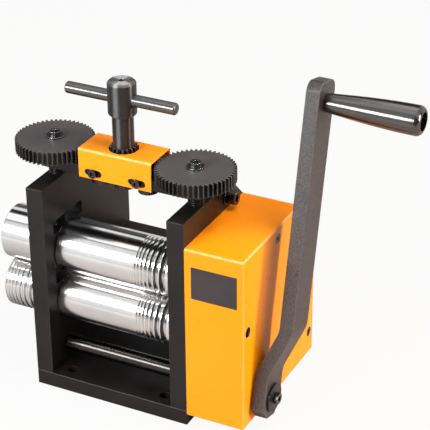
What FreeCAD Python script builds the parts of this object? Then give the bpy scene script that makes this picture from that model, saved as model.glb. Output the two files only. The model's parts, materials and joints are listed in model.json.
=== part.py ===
import FreeCAD, Part
import math
import os
import re

import Sketcher

# Jewellers rolling mill: two side plates on a base carry a pair of geared rollers,
# a geared pair of pressure screws above them and a hand crank beside them.
# +X runs along the rollers to the crank, +Y to the back, +Z up.
# The origin is the middle of the base plate's underside.

doc = FreeCAD.newDocument("RollingMill")
Vector = FreeCAD.Vector
Rotation = FreeCAD.Rotation

SIZES = [
    # frame
    ("base_depth", 140.5, "base plate, front to back"),
    ("base_thick", 14, "base plate thickness"),
    ("plate_thick", 15.5, "side plate thickness"),
    ("plate_top", 191, "top of the side plates above the bench"),
    ("back_slope", 55, "size of the 45 degree cut at the plates' upper back corner"),
    ("edge_break", 0.4, "small chamfer on the edges of the plates"),
    ("foot_hole_side", 45, "foot hole from the middle, left and right"),
    ("foot_hole_edge", 12.7, "foot hole from the base's front or back edge"),
    ("foot_hole_dia", 9, "foot hole for a bench bolt"),
    ("tie_bar_thick", 14, "rear tie bar, front to back"),
    ("tie_bar_low", 55, "underside of the rear tie bar"),
    ("tie_bar_high", 95, "top of the rear tie bar"),
    ("tie_rod_dia", 12, "upper tie rod"),
    ("tie_rod_back", 76, "upper tie rod from the plates' front"),
    ("tie_rod_drop", 10.5, "upper tie rod below the plates' top"),
    ("frame_screw_dia", 8, "screws that hold the frame together"),
    ("frame_head_dia", 12.5, "head of a frame screw"),
    ("frame_head_high", 8, "height of a frame screw's head"),
    ("frame_screw_edge", 12, "outer base screws from the plates' front and back"),
    ("bar_screw_dia", 6, "screws through the plates into the rear tie bar"),
    ("bar_head_dia", 10, "head of one of those screws"),
    ("bar_head_high", 6, "height of that head"),
    # rollers and bearings
    ("roller_back", 37, "roller axes from the plates' front"),
    ("roller_dia", 47, "roller body"),
    ("rest_gap", 0.7, "gap between the rollers at rest"),
    ("roller_play", 0.5, "roller end face to side plate"),
    ("journal_dia", 22, "roller journal"),
    ("seat_dia", 20, "roller shaft outside the plates"),
    ("bush_wall", 3, "wall of the roller bushes"),
    ("window_wide", 46, "bearing window in a side plate, front to back"),
    ("window_low", 59, "sill of the bearing window"),
    ("window_high", 155, "top of the bearing window"),
    ("block_tall", 36, "height of a bearing block"),
    ("slide_play", 0.08, "sliding clearance on each side of a bearing block"),
    ("run_play", 0.05, "radial clearance of a shaft in its bush"),
    ("spring_dia", 5.4, "outside of a return spring"),
    ("spring_wire", 0.9, "wire of a return spring"),
    ("spring_back", 18.4, "return springs from the roller axis, front and back"),
    ("spring_sink", 5, "depth of a spring pocket"),
    ("spring_turns", 9, "turns of a return spring"),
    ("groove_first", 19, "first wire groove right of the middle"),
    ("groove_wide", 1.5, "width of the first wire groove"),
    ("groove_growth", 1.24, "each wire groove against the one before"),
    ("groove_land", 1.15, "land between two wire grooves"),
    ("groove_count", 7, "wire grooves in each roller"),
    ("ring_wide", 37, "extension ring on the left shaft ends"),
    ("ring_play", 0.9, "extension ring to the left side plate"),
    ("ring_groove_first", 2.4, "first half-round groove from the ring's outer face"),
    ("ring_groove_wide", 1.5, "width of the first half-round groove"),
    ("ring_groove_growth", 1.22, "each half-round groove against the one before"),
    ("ring_groove_land", 1.3, "land between two half-round grooves"),
    ("ring_groove_count", 7, "half-round grooves in the lower ring"),
    ("ring_cap_dia", 30, "flange of the screw that holds a ring"),
    ("ring_cap_thick", 3, "thickness of that flange"),
    ("key_wide", 5, "width and height of the shaft keys"),
    ("clip_thick", 1.2, "retaining ring on a roller shaft"),
    ("clip_sink", 0.8, "depth of the retaining ring's groove"),
    # drive
    ("drive_module", 2, "module of the drive pinion and gear"),
    ("pinion_teeth", 16, "teeth of the drive pinion"),
    ("drive_teeth", 31, "teeth of the drive gear"),
    ("drive_wide", 18, "face width of the drive gears"),
    ("sync_teeth", 12, "teeth of the gears that pair the rollers"),
    ("sync_wide", 20, "face width of the pairing gears"),
    ("sync_gap", 0.6, "drive gear to pairing gear"),
    ("gear_play", 1.3, "gear faces to the right side plate"),
    ("hub_dia", 26, "hub of the upper pairing gear"),
    ("crank_back", 28.1, "crank axis from the plates' front"),
    ("shaft_dia", 14, "drive shaft between the plates"),
    ("shaft_end_dia", 12, "drive shaft in its bushes"),
    ("shaft_play", 0.6, "drive shaft shoulder to side plate"),
    ("shaft_square", 9, "square end of the drive shaft"),
    # gear cover
    ("cover_wide", 52.4, "gear cover, along the shafts"),
    ("cover_low", 10, "underside of the gear cover"),
    ("cover_high", 169.5, "top of the gear cover"),
    ("cover_wall", 1.2, "sheet of the gear cover"),
    ("cover_bend", 2, "bend radius of the gear cover"),
    ("cover_hole_dia", 21, "hole for the drive shaft"),
    ("standoff_dia", 8, "cover standoffs"),
    ("cover_screw_dia", 5, "cover screws"),
    ("cover_head_dia", 9.2, "countersunk head of a cover screw"),
    ("cover_head_high", 2.4, "depth of that head"),
    ("label_left", 6, "bare plate from the cover's left edge"),
    ("label_wide", 40.5, "bare plate width"),
    ("label_tall", 29, "bare plate height"),
    ("label_low", 125.5, "underside of the bare plate above the bench"),
    ("label_thick", 0.5, "bare plate thickness"),
    # crank
    ("arm_gap", 1.4, "crank arm to gear cover"),
    ("arm_thick", 12, "crank arm thickness"),
    ("arm_wide", 31, "crank arm width"),
    ("arm_joggle", 17.1, "sideways step of the crank arm"),
    ("arm_bend_low", 22, "start of the step above the crank axis"),
    ("arm_bend_high", 63, "end of the step above the crank axis"),
    ("arm_end", 17.4, "arm beyond the crank axis and beyond the grip axis"),
    ("arm_bend_round", 24, "rounding of the step's bends"),
    ("arm_corner", 8.5, "cut corners of the arm's lower end"),
    ("arm_round", 8.5, "rounded corners of the arm's upper end"),
    ("crank_radius", 253.5, "crank axis to grip axis"),
    ("crank_lean", 12.9, "degrees that the arm leans back at rest"),
    ("crank_washer_dia", 25, "washer on the drive shaft's end"),
    ("crank_washer_thick", 2, "thickness of that washer"),
    ("crank_head_dia", 9.6, "head of the screw in the drive shaft's end"),
    ("crank_head_high", 4, "height of that head"),
    ("crank_screw_dia", 6, "screw in the drive shaft's end"),
    ("grip_long", 80, "length of the grip"),
    ("grip_root_dia", 15.2, "grip beside the arm"),
    ("grip_end_dia", 24.2, "grip at its far end"),
    ("grip_round", 4.5, "rounding of the grip's far end"),
    ("grip_play", 0.6, "grip to crank arm"),
    ("grip_bore_dia", 15.6, "counterbore in the grip's far end"),
    ("grip_bore_deep", 14, "depth of that counterbore"),
    ("spindle_dia", 8, "spindle of the grip"),
    ("spindle_head_dia", 12.6, "head of the spindle"),
    ("spindle_head_high", 5, "height of the spindle's head"),
    # screw-down
    ("top_module", 1.25, "module of the gears on top"),
    ("middle_teeth", 16, "teeth of the adjuster's pinion"),
    ("idler_teeth", 18, "teeth of the idler gears"),
    ("screw_teeth", 51, "teeth of the gears on the pressure screws"),
    ("top_mesh_ease", 0.3, "extra centre distance of each mesh on top"),
    ("top_gear_thick", 11.2, "thickness of the gears on top"),
    ("middle_thick", 17.2, "height of the adjuster's pinion"),
    ("top_hub_high", 1.2, "hub that lifts a top gear off the bar"),
    ("screw_dia", 14, "pressure screw thread, two millimetre lead"),
    ("screw_neck_dia", 12, "pressure screw neck through the bar"),
    ("screw_seat_dia", 10, "pressure screw seat in its gear"),
    ("thread_play", 0.08, "radial clearance of the pressure screw in its plate"),
    ("screw_flange_dia", 14.8, "flange of the screw on top of a gear"),
    ("screw_flange_thick", 1.4, "thickness of that flange"),
    ("screw_head_dia", 9.6, "head of the screw on top of a gear"),
    ("screw_head_high", 4.6, "height of that head"),
    ("top_screw_dia", 5, "thread of the screw on top of a gear"),
    ("bar_low", 201.7, "underside of the bridge bar above the bench"),
    ("bar_thick", 9, "bridge bar thickness"),
    ("bar_wide", 30.2, "bridge bar, front to back"),
    ("bridge_long", 66.8, "bridge cover, along the rollers"),
    ("bridge_wall", 1.3, "sheet of the bridge cover"),
    ("bridge_play", 0.2, "bridge cover to bridge bar"),
    ("bridge_drop", 0.8, "bridge cover below the bar's underside"),
    ("bridge_tall", 25.4, "bridge cover height"),
    ("bridge_bend", 2, "bend radius of the bridge cover"),
    ("bridge_hole_dia", 24.6, "hole for the adjuster"),
    ("slot_side", 20.1, "slots in the bridge cover from the middle"),
    ("slot_long", 15.9, "length of a slot"),
    ("slot_tall", 6.3, "height of a slot"),
    ("slot_screw_dia", 4, "screws in the slots"),
    ("slot_head_dia", 7.4, "head of a slot screw"),
    ("slot_head_high", 2.8, "height of that head"),
    ("stud_dia", 10, "idler stud"),
    ("stud_head_dia", 17, "heads under the bridge bar"),
    ("stud_head_high", 9.6, "height of those heads"),
    ("cap_dia", 23.6, "head of the tee handle"),
    ("cap_tall", 30, "height of that head"),
    ("cap_bevel", 2, "bevels of that head"),
    ("neck_dia", 17.6, "neck of the tee handle"),
    ("neck_tall", 26.8, "neck above the pinion"),
    ("spindle_foot_dia", 12, "tee handle's spindle in pinion and bar"),
    ("tommy_dia", 10, "cross bar of the tee handle"),
    ("tommy_long", 100, "length of the cross bar"),
    ("tommy_drop", 15.6, "cross bar below the top of the head"),
    ("tommy_bevel", 1, "bevelled ends of the cross bar"),
]

PLACES = [
    ("front", "-base_depth / 2", "front face of base, plates and gear cover"),
    ("idler_side", "top_module * (middle_teeth + idler_teeth) / 2 + top_mesh_ease",
     "idler studs from the middle"),
    ("screw_side", "idler_side + top_module * (idler_teeth + screw_teeth) / 2 + top_mesh_ease",
     "pressure screws from the middle, also the middle of each side plate"),
    ("plate_inner", "screw_side - plate_thick / 2", "inner face of a side plate"),
    ("plate_outer", "screw_side + plate_thick / 2", "outer face of a side plate"),
    ("roller_line", "front + roller_back", "roller and pressure screw axes"),
    ("lower_axis", "window_low + block_tall / 2", "lower roller axis"),
    ("axis_rise", "roller_dia + rest_gap", "between the two roller axes at rest"),
    ("upper_axis", "lower_axis + axis_rise", "upper roller axis"),
    ("roller_half", "plate_inner - roller_play", "end face of a roller"),
    ("drive_centres", "drive_module * (pinion_teeth + drive_teeth) / 2", "pinion to drive gear"),
    ("crank_line", "front + crank_back", "crank axis, front to back"),
    ("crank_axis", "lower_axis - sqrt(drive_centres ^ 2 - (roller_back - crank_back) ^ 2)",
     "crank axis above the bench"),
    ("gear_start", "plate_outer + gear_play", "inner faces of the drive gears"),
    ("sync_start", "gear_start + drive_wide + sync_gap", "inner faces of the pairing gears"),
    ("clip_start", "sync_start + sync_wide", "retaining rings"),
    ("cover_face", "plate_outer + cover_wide", "outer face of the gear cover"),
    ("arm_start", "cover_face + arm_gap", "inner face of the crank arm"),
    ("arm_face", "arm_start + arm_thick", "outer face of the arm at the crank axis"),
    ("grip_face", "arm_face + arm_joggle", "outer face of the arm at the grip axis"),
    ("grip_line", "crank_line + crank_radius * sin(crank_lean)", "grip axis, front to back"),
    ("grip_axis", "crank_axis + crank_radius * cos(crank_lean)", "grip axis above the bench"),
    ("ring_start", "plate_outer + ring_play", "inner face of an extension ring"),
    ("ring_end", "ring_start + ring_wide", "outer face of an extension ring"),
    ("bar_high", "bar_low + bar_thick", "top of the bridge bar"),
    ("top_gear_low", "bar_high + top_hub_high", "underside of the gears on top"),
    ("top_gear_high", "top_gear_low + top_gear_thick", "top of the gears on top"),
    ("block_top", "upper_axis + block_tall / 2", "top of an upper bearing block"),
    ("middle_high", "top_gear_low + middle_thick", "top of the adjuster's pinion"),
    ("cap_low", "middle_high + neck_tall", "underside of the tee handle's head"),
    ("cap_high", "cap_low + cap_tall", "top of the tee handle"),
    ("tommy_axis", "cap_high - tommy_drop", "cross bar axis"),
    ("tie_rod_axis", "plate_top - tie_rod_drop", "upper tie rod axis"),
    ("foot_span_side", "2 * foot_hole_side", "foot holes, left to right"),
    ("foot_span_deep", "base_depth - 2 * foot_hole_edge", "foot holes, front to back"),
]

# The cover screws: distance back from the cover's front face, height above the bench.
COVER_SCREWS = [("64", "159.5"), ("8.2", "101.5"), ("131.5", "32"), ("122", "124")]

WORD = re.compile(r"[a-z]+(?:_[a-z]+)*")
page_of = {}


def formula(text):
    """Put the sheet's name before each size or place that the text names."""
    return WORD.sub(lambda word: page_of.get(word.group(0), "") + word.group(0), str(text))


def write_page(name, rows, lead):
    """Fill one spreadsheet with a name, a value and a note on each row."""
    page = doc.addObject("Spreadsheet::Sheet", name)
    for row, (alias, value, note) in enumerate(rows, start=1):
        page.set("A%d" % row, alias)
        page.set("B%d" % row, lead + formula(value))
        page.setAlias("B%d" % row, alias)
        page.set("C%d" % row, note)
        if lead:
            page_of[alias] = name + "."
            doc.recompute()
    for alias, value, note in rows:
        page_of[alias] = name + "."
    doc.recompute()
    return page


sizes = write_page("Sizes", SIZES, "")
places = write_page("Places", PLACES, "=")


def value(text):
    """Work out a size, a place or a sum of them as a number."""
    result = sizes.evalExpression(formula(text))
    return float(getattr(result, "Value", result))


# ---------------------------------------------------------------- building blocks

UP = Rotation()
TURNS = {
    "up": UP,
    "down": Rotation(Vector(1, 0, 0), 180),
    "right": Rotation(Vector(0, 1, 0), 90),
    "left": Rotation(Vector(0, 1, 0), -90),
    "front": Rotation(Vector(1, 0, 0), 90),
    "back": Rotation(Vector(1, 0, 0), -90),
}
nodes = []


def lean():
    """The turn about X that leans the crank arm back."""
    return Rotation(Vector(-1, 0, 0), value("crank_lean"))


def bind(item, **properties):
    """Tie properties of an object to the spreadsheets."""
    for name, text in properties.items():
        item.setExpression(name, formula(text))
    return item


def put(item, x="0", y="0", z="0", turn=UP):
    """Turn an object and tie its place to the spreadsheets."""
    item.Placement = FreeCAD.Placement(Vector(), turn)
    for axis, text in zip("xyz", (x, y, z)):
        item.setExpression("Placement.Base." + axis, formula(text))
    return item


def block(name, wide, deep, tall, x="0", y="0", z="0"):
    """A box from its low left front corner."""
    item = doc.addObject("Part::Box", name)
    bind(item, Length=wide, Width=deep, Height=tall)
    return put(item, x, y, z)


def rod(name, dia, length, x="0", y="0", z="0", turn=UP):
    """A cylinder that starts at a point and runs along the turned Z axis."""
    item = doc.addObject("Part::Cylinder", name)
    bind(item, Radius="(%s) / 2" % dia, Height=length)
    return put(item, x, y, z, turn)


def taper(name, dia_from, dia_to, length, x="0", y="0", z="0", turn=UP):
    """A cone frustum that starts at a point and runs along the turned Z axis."""
    item = doc.addObject("Part::Cone", name)
    bind(item, Radius1="(%s) / 2" % dia_from, Radius2="(%s) / 2" % dia_to, Height=length)
    return put(item, x, y, z, turn)


def hexagon(name, dia, length, x="0", y="0", z="0", turn=UP):
    """A hexagonal prism from the circle through its corners."""
    item = doc.addObject("Part::Prism", name)
    item.Polygon = 6
    bind(item, Circumradius="(%s) / 2" % dia, Height=length)
    return put(item, x, y, z, turn)


def square_bar(name, side, length, x, y, z):
    """A square bar along X with its flats in line with the crank arm."""
    item = doc.addObject("Part::Prism", name)
    item.Polygon = 4
    bind(item, Circumradius="(%s) / sqrt(2)" % side, Height=length)
    turn = lean() * TURNS["right"] * Rotation(Vector(0, 0, 1), 45)
    return put(item, x, y, z, turn)


def join(name, *parts):
    """Fuse parts into one solid."""
    item = doc.addObject("Part::MultiFuse", name)
    item.Shapes = list(parts)
    item.Refine = True
    return item


def cut(name, base, *tools):
    """Cut tools out of a base."""
    item = doc.addObject("Part::Cut", name)
    item.Base = base
    item.Tool = tools[0] if len(tools) == 1 else together(name + "_tools", *tools)
    return item


def together(name, *parts):
    """Keep parts side by side as separate solids of one compound."""
    item = doc.addObject("Part::Compound", name)
    item.Links = list(parts)
    return item


def node(name, item):
    """Name a finished piece; its label becomes the name of its file."""
    item.Label = name
    nodes.append(item)
    return item


def solid(name, shape, x="0", y="0", z="0", turn=UP):
    """Hold a shape made by a function, placed from the spreadsheets."""
    item = doc.addObject("Part::Feature", name)
    item.Shape = shape
    return put(item, x, y, z, turn)


def origin_plane(body, role):
    """The body's own origin plane of that role."""
    return next(item for item in body.Origin.OriginFeatures if item.Role == role)


def outline(body, name, role, corners):
    """Sketch a closed outline whose corners are tied to the spreadsheets."""
    sketch = body.newObject("Sketcher::SketchObject", name)
    sketch.AttachmentSupport = (origin_plane(body, role), "")
    sketch.MapMode = "FlatFace"
    points = [Vector(value(across), value(along), 0) for across, along in corners]
    for index, point in enumerate(points):
        sketch.addGeometry(Part.LineSegment(point, points[(index + 1) % len(points)]), False)
    for index in range(len(points)):
        following = (index + 1) % len(points)
        sketch.addConstraint(Sketcher.Constraint("Coincident", index, 2, following, 1))
    for index, corner in enumerate(corners):
        for kind, axis, text in (("DistanceX", -2, corner[0]), ("DistanceY", -1, corner[1])):
            if text == "0":
                sketch.addConstraint(Sketcher.Constraint("PointOnObject", index, 1, axis))
                continue
            rule = Sketcher.Constraint(kind, -1, 1, index, 1, value(text))
            number = sketch.addConstraint(rule)
            sketch.setExpression("Constraints[%d]" % number, formula(text))
    return sketch


def padded(name, role, corners, length):
    """A body whose outline is padded along the plane's normal."""
    body = doc.addObject("PartDesign::Body", name)
    sketch = outline(body, name + "_outline", role, corners)
    pad = body.newObject("PartDesign::Pad", name + "_pad")
    pad.Profile = sketch
    bind(pad, Length=length)
    body.Tip = pad
    doc.recompute()
    return body


def soften(body, kind, size, chosen):
    """Chamfer or fillet the edges of a body's tip that pass the test."""
    base = body.Tip
    names = ["Edge%d" % (index + 1) for index, edge in enumerate(base.Shape.Edges) if chosen(edge)]
    feature = body.newObject("PartDesign::" + kind, body.Name + "_" + kind.lower())
    feature.Base = (base, names)
    bind(feature, **{"Size" if kind == "Chamfer" else "Radius": size})
    body.Tip = feature
    doc.recompute()
    return body


def ring_wall(name, outer_dia, inner_dia, length, x="0", y="0", z="0", turn=UP):
    """A plain tube."""
    outer = rod(name + "_outer", outer_dia, length)
    inner = rod(name + "_bore", inner_dia, "%s + 2" % length, z="-1")
    return put(cut(name + "_tube", outer, inner), x, y, z, turn)


def cap_screw(name, shank_dia, length, head_dia, head_high, x="0", y="0", z="0", turn=UP,
              flange_dia=None, flange_thick="0"):
    """A socket head screw: its seat is at the point, its head along the turned Z axis."""
    bevel = "0.08 * (%s)" % head_dia
    seat = flange_thick
    straight = "%s - %s" % (head_high, bevel)
    parts = [
        rod(name + "_shank", shank_dia, "%s + 1" % length, z="-(%s)" % length),
        rod(name + "_head", head_dia, straight, z=seat),
        taper(name + "_rim", head_dia, "(%s) - 2 * %s" % (head_dia, bevel), bevel,
              z="%s + %s" % (seat, straight)),
    ]
    if flange_dia:
        parts.append(rod(name + "_flange", flange_dia, flange_thick))
    socket = hexagon(name + "_socket", "0.58 * (%s)" % head_dia, "%s" % head_high,
                     z="%s + 0.45 * (%s)" % (seat, head_high))
    return put(cut(name + "_screw", join(name + "_blank", *parts), socket), x, y, z, turn)


def gear_shape(module, teeth, thick, phase, addendum, dedendum, thin, hub=None):
    """A spur gear with involute flanks, one tooth centred at the phase angle.

    The tooth is thinner than half the pitch by twice the named amount, for backlash.
    """
    pitch_radius = module * teeth / 2
    pressure = math.radians(20)
    base_radius = pitch_radius * math.cos(pressure)
    tip_radius = pitch_radius + addendum
    root_radius = pitch_radius - dedendum
    start_radius = max(base_radius, root_radius)
    half_pitch_angle = math.pi / (2 * teeth) - thin / pitch_radius

    def half_angle(radius):
        roll = math.sqrt(max(0, (radius / base_radius) ** 2 - 1))
        involute = roll - math.atan(roll)
        return half_pitch_angle + math.tan(pressure) - pressure - involute

    steps = 5
    flank = [start_radius + (tip_radius - start_radius) * step / (steps - 1) for step in range(steps)]
    profile = [(radius, half_angle(radius)) for radius in flank]
    if root_radius < base_radius:
        profile.insert(0, (root_radius, half_angle(base_radius) * 0.92))
    points = []
    for tooth in range(teeth):
        middle = math.radians(phase) + 2 * math.pi * tooth / teeth
        side = [(radius, middle - angle) for radius, angle in profile]
        side += [(radius, middle + angle) for radius, angle in reversed(profile)]
        points += [Vector(r * math.cos(a), r * math.sin(a), 0) for r, a in side]
    points.append(points[0])
    shape = Part.Face(Part.makePolygon(points)).extrude(Vector(0, 0, thick))
    if hub:
        hub_radius, hub_length = hub
        shape = shape.fuse(Part.makeCylinder(hub_radius, hub_length, Vector(0, 0, -hub_length)))
    return shape.removeSplitter()


def turned(profile):
    """Revolve a profile of distance along and radius about the X axis."""
    points = [Vector(along, radius, 0) for along, radius in profile]
    points.append(points[0])
    return Part.Face(Part.makePolygon(points)).revolve(Vector(), Vector(1, 0, 0), 360)


def angle_on_x(back, up):
    """Angle in a gear's own plane, once it is turned right, of a direction back and up."""
    return math.degrees(math.atan2(up, back)) + 90


# ---------------------------------------------------------------- frame

def is_any(edge):
    """Every edge."""
    return True


def base_screws():
    """Places of the six screws through the base into the plates."""
    spots = []
    for side in ("-screw_side", "screw_side"):
        for back in ("frame_screw_edge", "base_depth / 2", "base_depth - frame_screw_edge"):
            spots.append((side, "front + " + back))
    return spots


def base_plate():
    """The base with its foot holes and the sunk holes of the frame screws."""
    wide = "2 * plate_outer"
    slab = padded("base_slab", "XY_Plane", [("0", "0"), (wide, "0"), (wide, "base_depth"),
                                            ("0", "base_depth")], "base_thick")
    soften(slab, "Chamfer", "edge_break", is_any)
    put(slab, "-plate_outer", "front", "0")
    holes = []
    for side in ("-foot_hole_side", "foot_hole_side"):
        for back in ("foot_hole_edge", "base_depth - foot_hole_edge"):
            holes.append(rod("foot_hole", "foot_hole_dia", "base_thick + 2", side, "front + " + back, "-1"))
    for x, y in base_screws():
        holes.append(rod("base_bore", "frame_screw_dia + 0.4", "base_thick + 2", x, y, "-1"))
        holes.append(rod("base_sink", "frame_head_dia + 1", "frame_head_high + 1.5", x, y, "-1"))
    node("base_plate", cut("base", slab, *holes))


def fit_base_screws():
    """Screws up through the base into the plates, their heads sunk in the base."""
    screws = [cap_screw("base_screw", "frame_screw_dia", "base_thick - frame_head_high - 0.5 + 14",
                        "frame_head_dia", "frame_head_high", x, y, "frame_head_high + 0.5",
                        TURNS["down"]) for x, y in base_screws()]
    node("base_screws", together("base_screw_set", *screws))


def tie_bar_screws():
    """Places of the four screws through the plates into the rear tie bar."""
    middle = "front + base_depth - tie_bar_thick / 2"
    return [(middle, "tie_bar_low + 10"), (middle, "tie_bar_high - 10")]


def side_plate(side, sign):
    """One side plate with its bearing window, screw hole and cross holes."""
    corners = [("0", "base_thick"), ("base_depth", "base_thick"),
               ("base_depth", "plate_top - back_slope"), ("base_depth - back_slope", "plate_top"),
               ("0", "plate_top")]
    slab = padded(side + "_slab", "YZ_Plane", corners, "plate_thick")
    soften(slab, "Chamfer", "edge_break", is_any)
    inner = "%s * screw_side - plate_thick / 2" % sign
    put(slab, inner, "front", "0")
    start = inner + " - 1"
    through = "plate_thick + 2"
    tools = [
        block(side + "_window", through, "window_wide", "window_high - window_low", start,
              "roller_line - window_wide / 2", "window_low"),
        rod(side + "_thread", "screw_dia + 2 * thread_play", "plate_top - window_high + 2",
            "%s * screw_side" % sign, "roller_line", "window_high - 1"),
        rod(side + "_shaft_hole", "shaft_end_dia + 2 * run_play + 2 * bush_wall", through, start,
            "crank_line", "crank_axis", TURNS["right"]),
        rod(side + "_rod_hole", "frame_screw_dia + 0.4", through, start, "front + tie_rod_back",
            "tie_rod_axis", TURNS["right"]),
    ]
    for y, z in tie_bar_screws():
        tools.append(rod(side + "_bar_hole", "bar_screw_dia + 0.4", through, start, y, z,
                         TURNS["right"]))
    for x, y in base_screws():
        if x.startswith("-") == (sign == "-1"):
            tools.append(rod(side + "_foot_bore", "frame_screw_dia", "15", x, y, "base_thick - 1"))
    if sign == "1":
        for back, high in COVER_SCREWS:
            tools.append(rod("standoff_tap", "cover_screw_dia", "11", "plate_outer - 10",
                             "front + " + back, high, TURNS["right"]))
    node(side + "_side_plate", cut(side + "_plate", slab, *tools))


def tie_bar():
    """A bar between the plates' back edges, below the rollers' pass line."""
    bar = block("tie_bar_blank", "2 * plate_inner", "tie_bar_thick", "tie_bar_high - tie_bar_low",
                "-plate_inner", "front + base_depth - tie_bar_thick", "tie_bar_low")
    holes = []
    screws = []
    for sign, turn, back in (("-1", "left", "right"), ("1", "right", "left")):
        for y, z in tie_bar_screws():
            holes.append(rod("bar_tap", "bar_screw_dia", "16", "%s * plate_inner" % sign, y, z,
                             TURNS[back]))
            screws.append(cap_screw("bar_screw", "bar_screw_dia", "plate_thick + 14", "bar_head_dia",
                                    "bar_head_high", "%s * plate_outer" % sign, y, z, TURNS[turn]))
    node("rear_tie_bar", cut("tie_bar", bar, *holes))
    node("tie_bar_screws", together("tie_bar_screw_set", *screws))


def tie_rod():
    """A round rod between the plates near their tops, with a screw and washer at each end."""
    blank = rod("tie_rod_blank", "tie_rod_dia", "2 * plate_inner", "-plate_inner",
                "front + tie_rod_back", "tie_rod_axis", TURNS["right"])
    taps = []
    screws = []
    for sign, turn, back in (("-1", "left", "right"), ("1", "right", "left")):
        taps.append(rod("rod_tap", "frame_screw_dia", "16", "%s * plate_inner" % sign,
                        "front + tie_rod_back", "tie_rod_axis", TURNS[back]))
        screws.append(cap_screw("rod_screw", "frame_screw_dia", "plate_thick + 14",
                                "frame_head_dia - 1", "frame_head_high", "%s * plate_outer" % sign,
                                "front + tie_rod_back", "tie_rod_axis", TURNS[turn],
                                "frame_head_dia + 2.5", "1.8"))
    node("upper_tie_rod", cut("tie_rod", blank, *taps))
    node("tie_rod_screws", together("tie_rod_screw_set", *screws))


# ---------------------------------------------------------------- bearings and springs

def bearing(level, side, sign, low):
    """A bearing block in its window, with a bush and pockets for two springs."""
    axis = level + "_axis"
    inner = "%s * screw_side - plate_thick / 2" % sign
    bush_dia = "journal_dia + 2 * run_play + 2 * bush_wall"
    name = level + "_" + side
    blank = block(name + "_blank", "plate_thick", "window_wide - 2 * slide_play", "block_tall", inner,
                  "roller_line - window_wide / 2 + slide_play", low)
    tools = [rod(name + "_seat", bush_dia, "plate_thick + 2", inner + " - 1", "roller_line", axis,
                 TURNS["right"])]
    pocket_low = low + (" + block_tall - spring_sink" if level == "lower" else " - 1")
    for back in ("-spring_back", "spring_back"):
        tools.append(rod(name + "_pocket", "spring_dia + 0.8", "spring_sink + 1", "%s * screw_side" % sign,
                         "roller_line + " + back, pocket_low))
    node(name + "_block", cut(name + "_body", blank, *tools))
    node(name + "_bush", ring_wall(name, bush_dia, "journal_dia + 2 * run_play", "plate_thick", inner,
                                   "roller_line", axis, TURNS["right"]))


def coil(turns, height, radius, wire):
    """A compression spring: one wire swept round a helix, its ends ground flat."""
    rise = height - wire
    helix = Part.makeHelix(rise / turns, rise, radius - wire / 2)
    section = Part.Wire(Part.makeCircle(wire / 2, Vector(radius - wire / 2, 0, 0), Vector(0, 1, 0)))
    spring = Part.Wire(helix).makePipeShell([section], True, True)
    spring.translate(Vector(0, 0, wire / 2))
    ground = 0.04
    return spring.common(Part.makeCylinder(radius + wire, height - 2 * ground, Vector(0, 0, ground)))


def return_springs():
    """Four springs that push the upper bearing blocks up against the pressure screws."""
    low = "lower_axis + block_tall / 2 - spring_sink"
    height = value("upper_axis - lower_axis - block_tall + 2 * spring_sink")
    springs = []
    for sign in ("-1", "1"):
        for back in ("-spring_back", "spring_back"):
            shape = coil(value("spring_turns"), height, value("spring_dia / 2"), value("spring_wire"))
            springs.append(solid("spring", shape, "%s * screw_side" % sign, "roller_line + " + back, low))
    node("return_springs", together("spring_set", *springs))


# ---------------------------------------------------------------- rollers

def vee_grooves(first, wide, growth, land, count):
    """Middle and half width of each groove of a row that grows along the roller."""
    grooves = []
    middle = first
    for number in range(int(count)):
        grooves.append((middle, wide / 2))
        following = wide * growth
        middle += wide / 2 + land + following / 2
        wide = following
    return grooves


def roller(level):
    """A roller with its journals, gear seat, ring seat and vee grooves, turned in one piece."""
    half = value("roller_half")
    body = value("roller_dia / 2")
    journal = value("journal_dia / 2")
    seat = value("seat_dia / 2")
    outer = value("plate_outer")
    groove_floor = seat - value("clip_sink")
    clip = value("clip_start")
    clip_end = clip + value("clip_thick")
    bevel = 0.3
    profile = [(-value("ring_end"), 0), (-value("ring_end"), seat), (-outer, seat), (-outer, journal),
               (-half, journal), (-half, body - bevel), (-half + bevel, body)]
    row = [value("groove_" + word) for word in ("first", "wide", "growth", "land", "count")]
    for middle, reach in vee_grooves(*row):
        profile += [(middle - reach, body), (middle, body - reach), (middle + reach, body)]
    profile += [(half - bevel, body), (half, body - bevel), (half, journal), (outer, journal),
                (outer, seat), (clip, seat), (clip, groove_floor), (clip_end, groove_floor),
                (clip_end, seat), (clip_end + 2.5, seat), (clip_end + 2.5, 0)]
    blank = solid(level + "_roller_blank", turned(profile), "0", "roller_line", level + "_axis")
    key_low = level + "_axis + seat_dia / 2 - key_wide / 2"
    slots = [
        block(level + "_gear_slot", "clip_start - gear_start", "key_wide", "key_wide", "gear_start",
              "roller_line - key_wide / 2", key_low),
        block(level + "_ring_slot", "ring_wide", "key_wide", "key_wide", "-ring_end",
              "roller_line - key_wide / 2", key_low),
        rod(level + "_end_tap", "frame_screw_dia", "20", "-ring_end - 1", "roller_line",
            level + "_axis", TURNS["right"]),
    ]
    node(level + "_roller", cut(level + "_roller_body", blank, *slots))
    keys = [
        block(level + "_gear_key", "clip_start - gear_start", "key_wide", "key_wide", "gear_start",
              "roller_line - key_wide / 2", key_low),
        block(level + "_ring_key", "ring_wide", "key_wide", "key_wide", "-ring_end",
              "roller_line - key_wide / 2", key_low),
    ]
    node(level + "_shaft_keys", together(level + "_key_set", *keys))
    node(level + "_retaining_ring",
         ring_wall(level + "_clip", "seat_dia + 5", "seat_dia - 2 * clip_sink", "clip_thick",
                   "clip_start", "roller_line", level + "_axis", TURNS["right"]))


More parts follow.
